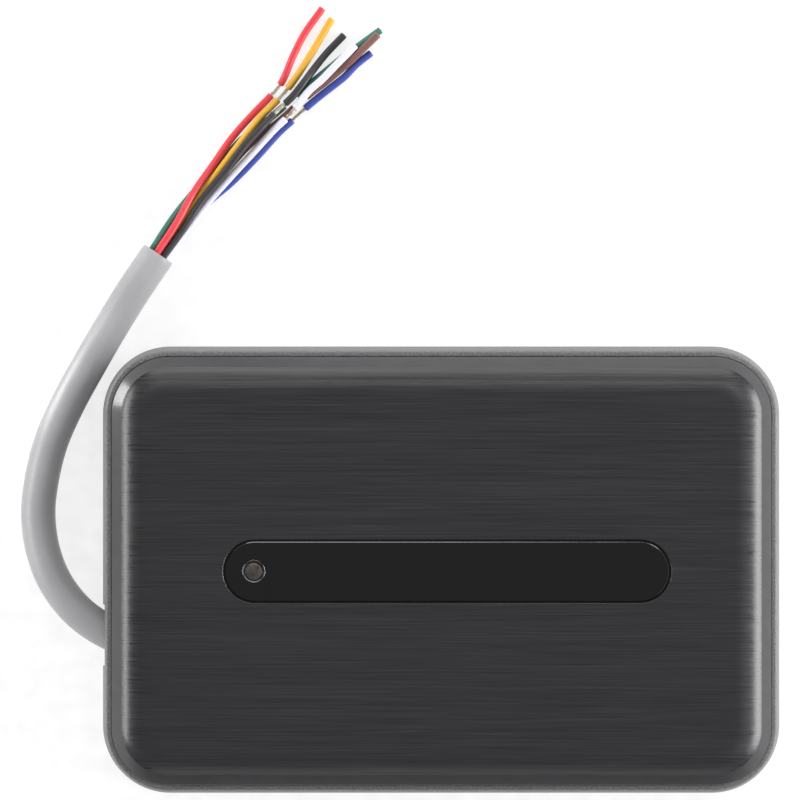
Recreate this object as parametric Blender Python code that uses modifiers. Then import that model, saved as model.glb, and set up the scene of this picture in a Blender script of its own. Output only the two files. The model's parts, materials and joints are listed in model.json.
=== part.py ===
"""Surface-mounted RFID card reader, lying on its back with its cable.

Frame: metres. The origin is the middle of the rear mounting face. +X runs along the long side,
+Y along the short side, and +Z out of the front face.
"""

import math

import bmesh
import bpy
import numpy as np
from mathutils import Vector

# Driving dimensions.
WIDTH = 0.1200
HEIGHT = 0.0792
DEPTH = 0.0200
CORNER = 0.0120
GAP = 0.0003
SOLDER_GAP = 0.00015

# Base housing.
BASE_DEPTH = 0.0135
BASE_DRAFT = 0.0009
FLOOR = 0.0015
RIM = 0.0016
LEDGE = 0.0100
LEDGE_INSET = 0.0036
REACH = 0.0020

# Front cover, measured inwards from the outline of the base's rear face.
COVER_INSET = 0.0019
SKIRT = 0.0016
SKIRT_END = 0.0116
BEVEL_FOOT = 0.0156
BEVEL_RUN = 0.0018
BEVEL_RISE = 0.0026
SHOULDER_ANGLE = 40.0
SHOULDER_STEPS = 8
ROOF = 0.0175
HOLLOW_FOOT = 0.0150
HOLLOW_RUN = 0.0022
SEAL_INNER = 0.0033
SEAL_THICKNESS = 0.0010

# Window bar in the cover's face.
BAR_CENTRE = 0.0010
BAR_LENGTH = 0.0782
BAR_HEIGHT = 0.0106
POCKET_MARGIN = 0.0003
POCKET_FLOOR = 0.0182
BAR_BACK = 0.01895
BAR_FRONT = 0.0199
BAR_EDGE = 0.0002
TAPE_INSET = 0.0004
TAPE_BORDER = 0.0026
TAPE_BOTTOM = 0.0184
TAPE_TOP = 0.0187
LENS_X = -0.0330
LENS_RADIUS = 0.00175
LENS_HOLE = 0.00205
LENS_TOP = 0.0199
LENS_BOTTOM = 0.0149
LENS_FLANGE = 0.0027
LENS_FLANGE_THICKNESS = 0.0008
LENS_STEM = 0.0015

# Rear cable bay.
BAY_LEFT = -0.0564
BAY_RIGHT = 0.0080
BAY_LOW = -0.0225
BAY_HIGH = -0.0056
BAY_ROOF = 0.0090
BAY_TOP = 0.0099
BAY_WALL = 0.0018
BAY_END_TOP = 0.0105
NOTCH_LOW = -0.0170
NOTCH_HIGH = -0.0061
NOTCH_ROOF = 0.0072
BAY_OVERLAP = 0.0010

# Wall screws, on the spacing of a standard single wall box.
WALL_SCREW_X = 0.04165
WALL_SCREW_HOLE = 0.0022
WALL_BOSS = 0.0050
WALL_BOSS_TOP = 0.0070

# Circuit board.
BOARD_LOW = (-0.0365, -0.0315)
BOARD_HIGH = (0.0365, 0.0270)
BOARD_BOTTOM = 0.0109
BOARD_TOP = 0.0125
BOARD_SCREWS = ((-0.0330, -0.0285), (0.0330, -0.0285), (0.0330, 0.0240), (-0.0330, 0.0240))
BOARD_BOSS = 0.0026
BOARD_BOSS_HOLE = 0.0014
BOARD_BOSS_HOLE_BOTTOM = 0.0050
BOARD_SCREW_HOLE = 0.0015
SCREW_HEAD = 0.0021
SCREW_SHANK = 0.0011
SCREW_TIP = 0.0058

# Antenna coil on its former.
FORMER_INSET = 0.0044
FORMER_BOTTOM = 0.0126
FORMER_FLANGE = 0.0019
FORMER_FLANGE_THICKNESS = 0.0008
FORMER_WALL = 0.0012
FORMER_WALL_HEIGHT = 0.0026
COIL_HEIGHT = 0.0021
COIL_CLEARANCE = 0.0002
FORMER_POSTS = ((-0.0538, -0.0270), (-0.0538, 0.0270), (0.0538, -0.0270), (0.0538, 0.0270))
FORMER_POST = 0.0019

# Cable.
JACKET = 0.0061
CORE = 0.0013
GROMMET_Y = -0.0180
GROMMET_Z = 0.0056
GROMMET_HOLE = 0.0040
GROMMET_PLAY = 0.0002
COLLAR_HALF_WIDTH = 0.0056
COLLAR_HALF_HEIGHT = 0.0038
COLLAR_THICKNESS = 0.0013
TIE_LEFT = 0.0120
TIE_WIDTH = 0.0025
TIE_RADIUS = 0.00395
JACKET_ROUTE = (
    (0.0152, -0.0180, 0.0056),
    (0.0080, -0.0180, 0.0056),
    (-0.0040, -0.0179, 0.0052),
    (-0.0160, -0.0177, 0.0044),
    (-0.0280, -0.0173, 0.0036),
    (-0.0380, -0.0165, 0.00315),
    (-0.0470, -0.0151, 0.0031),
    (-0.0540, -0.0131, 0.0031),
    (-0.0600, -0.0105, 0.0031),
    (-0.0646, -0.0071, 0.0031),
    (-0.0684, -0.0021, 0.0031),
    (-0.0706, 0.0036, 0.0031),
    (-0.0714, 0.0098, 0.0031),
    (-0.0709, 0.0153, 0.0031),
    (-0.0692, 0.0224, 0.0031),
    (-0.0663, 0.0291, 0.0031),
    (-0.0624, 0.0363, 0.0031),
    (-0.0584, 0.0432, 0.0031),
    (-0.0545, 0.0495, 0.0031),
    (-0.0501, 0.0560, 0.0031),
)
JACKET_POINTS = 36

# The cores fan out from the jacket's end. Each point is a distance along the fan's axis,
# a distance to the right of it, and a height.
FAN_START = (-0.0499, 0.0563)
FAN_ANGLE = 48.7
CORE_POINTS = 20
FAN = {
    "red": (
        (0.0, -0.00029, 0.00447), (0.006, -0.00115, 0.0041), (0.012, -0.00245, 0.00295),
        (0.018, -0.00315, 0.0019), (0.024, -0.0038, 0.0009), (0.030, -0.00375, 0.0007),
        (0.034, -0.00355, 0.0007), (0.037, -0.0037, 0.0007), (0.042, -0.0053, 0.0007),
        (0.046, -0.0063, 0.0007), (0.0516, -0.0069, 0.0007),
    ),
    "yellow": (
        (0.0, 0.0, 0.0031), (0.006, -0.00075, 0.0027), (0.012, -0.0013, 0.0021),
        (0.018, -0.00165, 0.00205), (0.024, -0.00205, 0.00205), (0.027, -0.00225, 0.0021),
        (0.030, -0.0024, 0.0016), (0.033, -0.0022, 0.0010), (0.036, -0.0021, 0.0007),
        (0.039, -0.0023, 0.0007), (0.044, -0.00305, 0.0007), (0.0513, -0.0044, 0.0007),
    ),
    "black": (
        (0.0, 0.00104, 0.00404), (0.006, 0.00045, 0.0037), (0.012, -0.00045, 0.0033),
        (0.018, -0.00065, 0.0031), (0.024, -0.00115, 0.00315), (0.028, -0.00105, 0.00285),
        (0.033, -0.00085, 0.00215), (0.036, -0.00055, 0.00215), (0.039, -0.00065, 0.0020),
        (0.042, -0.0009, 0.0013), (0.046, -0.0011, 0.00075), (0.0506, -0.0009, 0.0007),
    ),
    "white": (
        (0.0, 0.00133, 0.00267), (0.006, 0.00105, 0.0023), (0.012, 0.0006, 0.00215),
        (0.018, 0.0006, 0.00195), (0.024, 0.00075, 0.00185), (0.030, 0.0009, 0.0020),
        (0.033, 0.0012, 0.0021), (0.036, 0.0011, 0.00215), (0.039, 0.0010, 0.0021),
        (0.042, 0.0014, 0.0021), (0.046, 0.0016, 0.0021), (0.0505, 0.0019, 0.0020),
    ),
    "brown": (
        (0.0, -0.00104, 0.00216), (0.006, -0.00115, 0.00125), (0.012, -0.0010, 0.00075),
        (0.018, -0.00075, 0.0007), (0.024, -0.0007, 0.0007), (0.027, -0.0003, 0.0007),
        (0.030, 0.0003, 0.0007), (0.033, 0.00075, 0.0007), (0.036, 0.00105, 0.0007),
        (0.039, 0.0015, 0.0007), (0.042, 0.0021, 0.0007), (0.045, 0.0026, 0.00095),
        (0.048, 0.00305, 0.0016), (0.051, 0.0033, 0.0019), (0.0546, 0.0036, 0.0021),
    ),
    "green": (
        (0.0, -0.00133, 0.00353), (0.006, -0.0022, 0.0024), (0.012, -0.0025, 0.00085),
        (0.018, -0.0022, 0.0007), (0.024, -0.00235, 0.0007), (0.027, -0.0018, 0.0007),
        (0.030, -0.00115, 0.0007), (0.033, -0.0007, 0.0007), (0.036, -0.00035, 0.0007),
        (0.039, 0.0001, 0.0007), (0.042, 0.00065, 0.0007), (0.045, 0.00115, 0.0007),
        (0.048, 0.0017, 0.0007), (0.051, 0.0024, 0.0007), (0.0555, 0.0034, 0.0007),
    ),
    "blue": (
        (0.0, 0.00029, 0.00173), (0.006, 0.0003, 0.00085), (0.012, 0.00055, 0.0007),
        (0.018, 0.0014, 0.0007), (0.024, 0.00175, 0.0007), (0.030, 0.00185, 0.0007),
        (0.033, 0.0022, 0.0007), (0.036, 0.0025, 0.0007), (0.039, 0.00295, 0.0007),
        (0.042, 0.0035, 0.0007), (0.045, 0.00405, 0.0007), (0.048, 0.0042, 0.0007),
        (0.05135, 0.0048, 0.0007),
    ),
}

# The plug on the underside of the board, and the inner leads to it.
PLUG_X = 0.0280
PLUG_Y = -0.0175
PLUG_Z = 0.0086
PLUG_DEPTH = 0.0068
PLUG_HALF_HEIGHT = 0.0013
PIN_PITCH = 0.0020
PIN_MARGIN = 0.0012
HEADER_FRONT = 0.0028
HEADER_BACK = 0.0084
HEADER_WALL = 0.0008
LEAD_RING = 0.0016
LEADS = (
    ("green", 180), ("brown", 240), ("blue", 120), ("yellow", 0),
    ("red", 60), ("white", 300), ("black", 0),
)
LEAD_POINTS = 9

CORNER_SEGMENTS = 10
TOUCHING = 0.00001
ROUND = 24
SMOOTH_ANGLE = math.radians(35)

COLOURS = {
    "cover_brushed": ((0.035, 0.035, 0.037), 0.36, 0.0),
    "base_textured": ((0.085, 0.085, 0.088), 0.62, 0.0),
    "smoked_window": ((0.010, 0.010, 0.011), 0.07, 0.0),
    "lens_clear": ((0.28, 0.24, 0.22), 0.15, 0.0),
    "adhesive_tape": ((0.05, 0.05, 0.05), 0.9, 0.0),
    "black_rubber": ((0.02, 0.02, 0.02), 0.7, 0.0),
    "white_nylon": ((0.75, 0.75, 0.72), 0.45, 0.0),
    "board_laminate": ((0.01, 0.13, 0.05), 0.4, 0.0),
    "zinc_steel": ((0.6, 0.6, 0.58), 0.35, 1.0),
    "enamelled_copper": ((0.55, 0.2, 0.07), 0.35, 1.0),
    "chip_epoxy": ((0.015, 0.015, 0.016), 0.55, 0.0),
    "can_metal": ((0.7, 0.7, 0.7), 0.3, 1.0),
    "buzzer_plastic": ((0.012, 0.012, 0.012), 0.45, 0.0),
    "led_package": ((0.8, 0.78, 0.7), 0.4, 0.0),
    "ferrite": ((0.05, 0.05, 0.055), 0.7, 0.0),
    "jacket_grey": ((0.42, 0.42, 0.43), 0.5, 0.0),
    "core_red": ((0.75, 0.05, 0.06), 0.4, 0.0),
    "core_yellow": ((0.85, 0.47, 0.03), 0.4, 0.0),
    "core_black": ((0.025, 0.025, 0.027), 0.4, 0.0),
    "core_white": ((0.75, 0.75, 0.85), 0.4, 0.0),
    "core_brown": ((0.2, 0.09, 0.07), 0.4, 0.0),
    "core_green": ((0.03, 0.16, 0.12), 0.4, 0.0),
    "core_blue": ((0.05, 0.08, 0.38), 0.4, 0.0),
}


def clear_scene():
    for obj in list(bpy.data.objects):
        bpy.data.objects.remove(obj, do_unlink=True)


def make_collection(name):
    collection = bpy.data.collections.new(name)
    bpy.context.scene.collection.children.link(collection)
    return collection


def material(slot):
    found = bpy.data.materials.get(slot)
    if found:
        return found
    colour, roughness, metallic = COLOURS[slot]
    made = bpy.data.materials.new(slot)
    made.use_nodes = True
    shader = made.node_tree.nodes["Principled BSDF"]
    shader.inputs["Base Color"].default_value = (*colour, 1.0)
    shader.inputs["Roughness"].default_value = roughness
    shader.inputs["Metallic"].default_value = metallic
    made.diffuse_color = (*colour, 1.0)
    return made


def place(name, data, slot, location=(0.0, 0.0, 0.0), rotation=(0.0, 0.0, 0.0)):
    """Puts mesh or curve data in the reader as a named part."""
    obj = bpy.data.objects.new(name, data)
    obj.location = location
    obj.rotation_euler = rotation
    data.materials.append(material(slot))
    PARTS.objects.link(obj)
    return obj


def helper(name, data, location=(0.0, 0.0, 0.0), rotation=(0.0, 0.0, 0.0)):
    """Puts a mesh that only shapes another part among the cutters."""
    obj = bpy.data.objects.new(name, data)
    obj.location = location
    obj.rotation_euler = rotation
    obj.display_type = "WIRE"
    obj.hide_render = True
    CUTTERS.objects.link(obj)
    return obj


def combine(obj, other, operation):
    modifier = obj.modifiers.new(other.name, "BOOLEAN")
    modifier.object = other
    modifier.operation = operation
    modifier.solver = "EXACT"


def cut(obj, other):
    combine(obj, other, "DIFFERENCE")


def join(obj, other):
    combine(obj, other, "UNION")


def finish_mesh(name, bm, smooth=False):
    bmesh.ops.recalc_face_normals(bm, faces=bm.faces)
    mesh = bpy.data.meshes.new(name)
    bm.to_mesh(mesh)
    bm.free()
    if smooth:
        mesh.shade_smooth()
        mesh.set_sharp_from_angle(angle=SMOOTH_ANGLE)
    return mesh


def box(name, low, high):
    """A box between two corners."""
    bm = bmesh.new()
    bmesh.ops.create_cube(bm, size=1.0)
    size = Vector(high) - Vector(low)
    middle = (Vector(high) + Vector(low)) / 2
    bmesh.ops.scale(bm, vec=size, verts=bm.verts)
    bmesh.ops.translate(bm, vec=middle, verts=bm.verts)
    return finish_mesh(name, bm)


def cylinder(name, radius, low, high, segments=ROUND):
    """An upright cylinder on the Z axis, between two heights."""
    bm = bmesh.new()
    bmesh.ops.create_cone(
        bm, cap_ends=True, segments=segments, radius1=radius, radius2=radius, depth=high - low
    )
    bmesh.ops.translate(bm, vec=(0, 0, (low + high) / 2), verts=bm.verts)
    return finish_mesh(name, bm, smooth=True)


def round_outline(width, height, radius, segments=CORNER_SEGMENTS):
    """The points of a rectangle with round corners, anticlockwise."""
    points = []
    for side_x, side_y, start in ((1, -1, -90), (1, 1, 0), (-1, 1, 90), (-1, -1, 180)):
        centre_x = side_x * (width / 2 - radius)
        centre_y = side_y * (height / 2 - radius)
        for step in range(segments + 1):
            angle = math.radians(start + 90 * step / segments)
            point = (centre_x + radius * math.cos(angle), centre_y + radius * math.sin(angle))
            if not points or math.dist(point, points[-1]) > TOUCHING:
                points.append(point)
    return points


def stepped_slab(name, outline, bottom, steps):
    """A closed block that rises from an outline, each step moving inwards and up."""
    bm = bmesh.new()
    face = bm.faces.new([bm.verts.new((x, y, bottom)) for x, y in outline])
    bm.normal_update()
    for inward, rise in steps:
        bmesh.ops.inset_region(
            bm, faces=[face], thickness=inward, depth=rise, use_boundary=True, use_even_offset=True
        )
    rim = [edge for edge in bm.edges if edge.is_boundary]
    bmesh.ops.edgeloop_fill(bm, edges=rim)
    bmesh.ops.remove_doubles(bm, verts=bm.verts, dist=TOUCHING)
    return finish_mesh(name, bm, smooth=True)


def body_outline(inset):
    """The reader's outline, moved inwards."""
    return round_outline(WIDTH - 2 * inset, HEIGHT - 2 * inset, CORNER - inset)


def round_slab(name, width, height, radius, low, high, segments=4):
    outline = round_outline(width, height, radius, segments)
    return stepped_slab(name, outline, low, ((0.0, high - low),))


def turned(name, profile, slot, location, rotation=(0.0, 0.0, 0.0), steps=ROUND):
    """A part turned about its Z axis from a profile of radius and height, top to bottom."""
    bm = bmesh.new()
    verts = [bm.verts.new((radius, 0.0, height)) for radius, height in profile]
    for first, second in zip(verts, verts[1:]):
        bm.edges.new((first, second))
    mesh = bpy.data.meshes.new(name)
    bm.to_mesh(mesh)
    bm.free()
    obj = place(name, mesh, slot, location, rotation)
    screw = obj.modifiers.new("turn", "SCREW")
    screw.steps = steps
    screw.render_steps = steps
    screw.use_merge_vertices = True
    screw.merge_threshold = TOUCHING
    screw.use_smooth_shade = True
    return obj


def smooth_route(points, count):
    """Evenly spaced points on a smooth curve through a route's points."""
    knots = np.array(points, dtype=float)
    gaps = np.sqrt(np.linalg.norm(np.diff(knots, axis=0), axis=1))
    times = np.concatenate([[0.0], np.cumsum(gaps)])
    slopes = np.gradient(knots, times, axis=0)
    dense = []
    for i in range(len(knots) - 1):
        span = times[i + 1] - times[i]
        u = np.linspace(0.0, 1.0, 40, endpoint=False)[:, None]
        dense.append(
            (2 * u**3 - 3 * u**2 + 1) * knots[i]
            + (u**3 - 2 * u**2 + u) * span * slopes[i]
            + (3 * u**2 - 2 * u**3) * knots[i + 1]
            + (u**3 - u**2) * span * slopes[i + 1]
        )
    dense = np.concatenate(dense + [knots[-1:]])
    along = np.concatenate([[0.0], np.cumsum(np.linalg.norm(np.diff(dense, axis=0), axis=1))])
    even = np.linspace(0.0, along[-1], count)
    return np.stack([np.interp(even, along, dense[:, axis]) for axis in range(3)], axis=1)


def tube(name, route, diameter, slot, resolution=2):
    """A round tube along a route, with closed ends."""
    curve = bpy.data.curves.new(name, "CURVE")
    curve.dimensions = "3D"
    curve.bevel_depth = diameter / 2
    curve.bevel_resolution = resolution
    curve.use_fill_caps = True
    spline = curve.splines.new("POLY")
    spline.points.add(len(route) - 1)
    for point, place_on_route in zip(spline.points, route):
        point.co = (*place_on_route, 1.0)
    return place(name, curve, slot)


def fan_route(color):
    """A core's route in world coordinates, from its points in the fan."""
    angle = math.radians(FAN_ANGLE)
    forward = np.array([math.cos(angle), math.sin(angle)])
    right = np.array([math.sin(angle), -math.cos(angle)])
    route = []
    for along, aside, height in FAN[color]:
        x, y = np.array(FAN_START) + along * forward + aside * right
        route.append((x, y, height))
    return route


def build_base():
    wall = stepped_slab("base_housing", body_outline(0.0), 0.0, ((BASE_DRAFT, BASE_DEPTH),))
    base = place("base_housing", wall, "base_textured")
    seat = stepped_slab("seat_cut", body_outline(RIM), LEDGE, ((0.0, BASE_DEPTH - LEDGE + REACH),))
    cut(base, helper("seat_cut", seat))
    well = stepped_slab("well_cut", body_outline(LEDGE_INSET), FLOOR, ((0.0, LEDGE - FLOOR + REACH),))
    cut(base, helper("well_cut", well))
    add_bay(base)
    add_posts(base)


def add_bay(base):
    """The closed channel for the cable, open at the back and through the left wall."""
    low = (BAY_LEFT - BAY_OVERLAP, BAY_LOW - BAY_WALL, FLOOR / 2)
    high = (BAY_RIGHT + BAY_WALL, BAY_HIGH + BAY_WALL, BAY_TOP)
    join(base, helper("bay_block", box("bay_block", low, high)))
    end_low = (BAY_RIGHT, BAY_LOW - BAY_WALL, BAY_ROOF)
    end_high = (BAY_RIGHT + BAY_WALL, BAY_HIGH + BAY_WALL, BAY_END_TOP)
    join(base, helper("bay_end", box("bay_end", end_low, end_high)))
    hollow = box("bay_cut", (BAY_LEFT, BAY_LOW, -REACH), (BAY_RIGHT, BAY_HIGH, BAY_ROOF))
    cut(base, helper("bay_cut", hollow))
    notch_low = (-WIDTH / 2 - REACH, NOTCH_LOW, -REACH)
    notch = box("notch_cut", notch_low, (BAY_LEFT + REACH, NOTCH_HIGH, NOTCH_ROOF))
    cut(base, helper("notch_cut", notch))
    bore = cylinder("grommet_cut", GROMMET_HOLE, -GAP, BAY_WALL + GAP)
    cut(base, helper("grommet_cut", bore, (BAY_RIGHT, GROMMET_Y, GROMMET_Z), (0, math.pi / 2, 0)))


def add_posts(base):
    """Bosses for the wall screws, the board screws and the coil former."""
    for index, side in enumerate((-1, 1)):
        boss = cylinder("wall_boss", WALL_BOSS, FLOOR / 2, WALL_BOSS_TOP)
        join(base, helper(f"wall_boss_{index}", boss, (side * WALL_SCREW_X, 0, 0)))
    for index, (x, y) in enumerate(BOARD_SCREWS):
        boss = cylinder("board_boss", BOARD_BOSS, FLOOR / 2, BOARD_BOTTOM - GAP, 16)
        join(base, helper(f"board_boss_{index}", boss, (x, y, 0)))
    for index, (x, y) in enumerate(FORMER_POSTS):
        post = cylinder("former_post", FORMER_POST, FLOOR / 2, FORMER_BOTTOM - GAP, 16)
        join(base, helper(f"former_post_{index}", post, (x, y, 0)))
    for index, side in enumerate((-1, 1)):
        hole = cylinder("wall_hole", WALL_SCREW_HOLE, -REACH, WALL_BOSS_TOP + REACH)
        cut(base, helper(f"wall_hole_{index}", hole, (side * WALL_SCREW_X, 0, 0)))
    for index, (x, y) in enumerate(BOARD_SCREWS):
        hole = cylinder(
            "boss_hole", BOARD_BOSS_HOLE, BOARD_BOSS_HOLE_BOTTOM, BOARD_BOTTOM + REACH, 16
        )
        cut(base, helper(f"boss_hole_{index}", hole, (x, y, 0)))


def shoulder_steps():
    """The rounded shoulder as small steps on an arc that ends level with the face."""
    steps = []
    rise = DEPTH - BEVEL_FOOT - BEVEL_RISE
    radius = rise / (1 - math.cos(math.radians(SHOULDER_ANGLE)))
    angles = [math.radians(SHOULDER_ANGLE * (1 - i / SHOULDER_STEPS)) for i in range(SHOULDER_STEPS + 1)]
    for steep, shallow in zip(angles, angles[1:]):
        inward = radius * (math.sin(steep) - math.sin(shallow))
        steps.append((inward, radius * (math.cos(shallow) - math.cos(steep))))
    return steps


def build_cover():
    skin = ((0.0, BEVEL_FOOT - SKIRT_END), (BEVEL_RUN, BEVEL_RISE), *shoulder_steps())
    shell = stepped_slab("front_cover", body_outline(COVER_INSET), SKIRT_END, skin)
    cover = place("front_cover", shell, "cover_brushed")
    inside = ((0.0, HOLLOW_FOOT - SKIRT_END + REACH), (HOLLOW_RUN, ROOF - HOLLOW_FOOT))
    hollow = stepped_slab("hollow_cut", body_outline(COVER_INSET + SKIRT), SKIRT_END - REACH, inside)
    cut(cover, helper("hollow_cut", hollow))
    length = BAR_LENGTH + 2 * POCKET_MARGIN
    height = BAR_HEIGHT + 2 * POCKET_MARGIN
    pocket = round_slab("pocket_cut", length, height, height / 2, POCKET_FLOOR, DEPTH + REACH, 8)
    cut(cover, helper("pocket_cut", pocket, (BAR_CENTRE, 0, 0)))
    hole = cylinder("lens_cut", LENS_HOLE, ROOF - REACH, POCKET_FLOOR + REACH)
    cut(cover, helper("lens_cut", hole, (LENS_X, 0, 0)))


def build_window():
    outline = round_outline(BAR_LENGTH, BAR_HEIGHT, BAR_HEIGHT / 2, 8)
    steps = ((0.0, BAR_FRONT - BAR_BACK - BAR_EDGE), (BAR_EDGE, BAR_EDGE))
    bar = place("window_bar", stepped_slab("window_bar", outline, BAR_BACK, steps), "smoked_window")
    bar.location.x = BAR_CENTRE
    hole = cylinder("bar_hole", LENS_HOLE, BAR_BACK - REACH, BAR_FRONT + REACH)
    cut(bar, helper("bar_hole", hole, (LENS_X, 0, 0)))
    length = BAR_LENGTH - 2 * TAPE_INSET
    height = BAR_HEIGHT - 2 * TAPE_INSET
    sheet = round_slab("window_tape", length, height, height / 2, TAPE_BOTTOM, TAPE_TOP, 6)
    tape = place("window_tape", sheet, "adhesive_tape", (BAR_CENTRE, 0, 0))
    length = BAR_LENGTH - 2 * TAPE_BORDER
    height = BAR_HEIGHT - 2 * TAPE_BORDER
    opening = round_slab("tape_cut", length, height, height / 2, TAPE_BOTTOM - GAP, TAPE_TOP + GAP, 6)
    cut(tape, helper("tape_cut", opening, (BAR_CENTRE, 0, 0)))


def build_lens():
    """The light pipe: a domed shaft through the bar, with a flange below the cover's roof."""
    flange_top = ROOF - GAP
    flange_bottom = flange_top - LENS_FLANGE_THICKNESS
    dome = (
        (0.0, LENS_TOP), (0.0008, LENS_TOP - 0.00005),
        (0.0014, LENS_TOP - 0.00024), (LENS_RADIUS, LENS_TOP - 0.00055),
    )
    profile = (
        *dome, (LENS_RADIUS, flange_top), (LENS_FLANGE, flange_top), (LENS_FLANGE, flange_bottom),
        (LENS_STEM, flange_bottom), (LENS_STEM, LENS_BOTTOM), (0.0, LENS_BOTTOM),
    )
    turned("led_lens", profile, "lens_clear", (LENS_X, 0, 0))


def build_seal():
    outline = body_outline(COVER_INSET)
    ring = stepped_slab("cover_seal", outline, LEDGE + GAP, ((0.0, SEAL_THICKNESS),))
    seal = place("cover_seal", ring, "black_rubber")
    inner = stepped_slab("seal_cut", body_outline(SEAL_INNER), LEDGE, ((0.0, REACH),))
    cut(seal, helper("seal_cut", inner))


def build_grommet():
    """A rubber sleeve through the end wall of the bay, with a square collar inside the housing."""
    radius = GROMMET_HOLE - GAP
    neck_end = BAY_RIGHT + BAY_WALL + GAP
    neck = cylinder("cable_grommet", radius, GAP, neck_end - BAY_RIGHT + GAP)
    turn = (0, math.pi / 2, 0)
    sleeve = place("cable_grommet", neck, "black_rubber", (BAY_RIGHT, GROMMET_Y, GROMMET_Z), turn)
    collar = box(
        "grommet_collar",
        (neck_end, GROMMET_Y - COLLAR_HALF_WIDTH, GROMMET_Z - COLLAR_HALF_HEIGHT),
        (neck_end + COLLAR_THICKNESS, GROMMET_Y + COLLAR_HALF_WIDTH, GROMMET_Z + COLLAR_HALF_HEIGHT),
    )
    join(sleeve, helper("grommet_collar", collar))
    bore = cylinder("grommet_bore", JACKET / 2 + GROMMET_PLAY, -REACH, 0.0060)
    cut(sleeve, helper("grommet_bore", bore, (BAY_RIGHT, GROMMET_Y, GROMMET_Z), turn))


def build_tie():
    """A cable tie pulled round the jacket inside the housing."""
    turn = (0, math.pi / 2, 0)
    place_at = (TIE_LEFT, GROMMET_Y, GROMMET_Z)
    band = cylinder("cable_tie", TIE_RADIUS, 0.0, TIE_WIDTH)
    tie = place("cable_tie", band, "white_nylon", place_at, turn)
    head = box(
        "tie_head",
        (TIE_LEFT - 0.0002, GROMMET_Y + TIE_RADIUS - 0.0004, GROMMET_Z - 0.0016),
        (TIE_LEFT + TIE_WIDTH + 0.0002, GROMMET_Y + TIE_RADIUS + 0.0034, GROMMET_Z + 0.0018),
    )
    join(tie, helper("tie_head", head))
    bore = cylinder("tie_bore", JACKET / 2 + GROMMET_PLAY, -REACH, TIE_WIDTH + REACH)
    cut(tie, helper("tie_bore", bore, place_at, turn))


def build_board():
    sheet = box("main_board", (*BOARD_LOW, BOARD_BOTTOM), (*BOARD_HIGH, BOARD_TOP))
    board = place("main_board", sheet, "board_laminate")
    for index, (x, y) in enumerate(BOARD_SCREWS):
        hole = cylinder("board_hole", BOARD_SCREW_HOLE, BOARD_BOTTOM - REACH, BOARD_TOP + REACH, 16)
        cut(board, helper(f"board_hole_{index}", hole, (x, y, 0)))
        head = BOARD_TOP + GAP
        profile = (
            (0.0, head + 0.0015), (0.0013, head + 0.0013), (SCREW_HEAD, head + 0.0006),
            (SCREW_HEAD, head), (SCREW_SHANK, head), (SCREW_SHANK, SCREW_TIP + 0.0004),
            (0.0, SCREW_TIP),
        )
        turned(f"board_screw_{index + 1}", profile, "zinc_steel", (x, y, 0), steps=16)


def build_coil():
    """The antenna's winding, in the corner between its former's flange and wall."""
    steps = ((0.0, FORMER_FLANGE_THICKNESS), (FORMER_FLANGE, 0.0), (0.0, FORMER_WALL_HEIGHT))
    frame = stepped_slab("coil_former", body_outline(FORMER_INSET), FORMER_BOTTOM, steps)
    former = place("coil_former", frame, "white_nylon")
    through = ((0.0, FORMER_WALL_HEIGHT + 2 * REACH),)
    inner = body_outline(FORMER_INSET + FORMER_FLANGE + FORMER_WALL)
    cut(former, helper("former_cut", stepped_slab("former_cut", inner, FORMER_BOTTOM - REACH, through)))
    bottom = FORMER_BOTTOM + FORMER_FLANGE_THICKNESS + SOLDER_GAP
    outline = body_outline(FORMER_INSET + COIL_CLEARANCE)
    winding = stepped_slab("antenna_coil", outline, bottom, ((0.0, COIL_HEIGHT),))
    coil = place("antenna_coil", winding, "enamelled_copper")
    inner = body_outline(FORMER_INSET + FORMER_FLANGE - COIL_CLEARANCE)
    cut(coil, helper("coil_cut", stepped_slab("coil_cut", inner, bottom - REACH, through)))


def build_chips():
    """Block-shaped components, each standing on the board at its own place."""
    foot = BOARD_TOP + SOLDER_GAP
    blocks = (
        ("microcontroller", "chip_epoxy", (-0.0080, -0.0050), (0.0100, 0.0100), 0.0014),
        ("rf_chip", "chip_epoxy", (0.0130, 0.0020), (0.0103, 0.0075), 0.0023),
        ("voltage_regulator", "chip_epoxy", (0.0240, -0.0180), (0.0065, 0.0061), 0.0023),
        ("power_inductor", "ferrite", (0.0260, -0.0060), (0.0070, 0.0070), 0.0030),
        ("tamper_sensor", "chip_epoxy", (0.0290, 0.0140), (0.0032, 0.0027), 0.0019),
        ("surge_diode_1", "chip_epoxy", (0.0060, -0.0235), (0.0046, 0.0036), 0.0023),
        ("surge_diode_2", "chip_epoxy", (0.0135, -0.0235), (0.0046, 0.0036), 0.0023),
    )
    for name, slot, (x, y), (length, width), height in blocks:
        steps = ((0.0, height / 2), (0.00015, height / 2))
        outline = round_outline(length, width, 0.0003, 2)
        place(name, stepped_slab(name, outline, foot, steps), slot, (x, y, 0))
    crystal = stepped_slab(
        "crystal", round_outline(0.0112, 0.0046, 0.0023, 6), foot, ((0.0, 0.0031), (0.0003, 0.0003))
    )
    place("crystal", crystal, "can_metal", (-0.0080, 0.0080, 0))
    led = box("status_led", (-0.0018, -0.0015, foot), (0.0018, 0.0015, foot + 0.0014))
    place("status_led", led, "led_package", (LENS_X, 0, 0))


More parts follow.
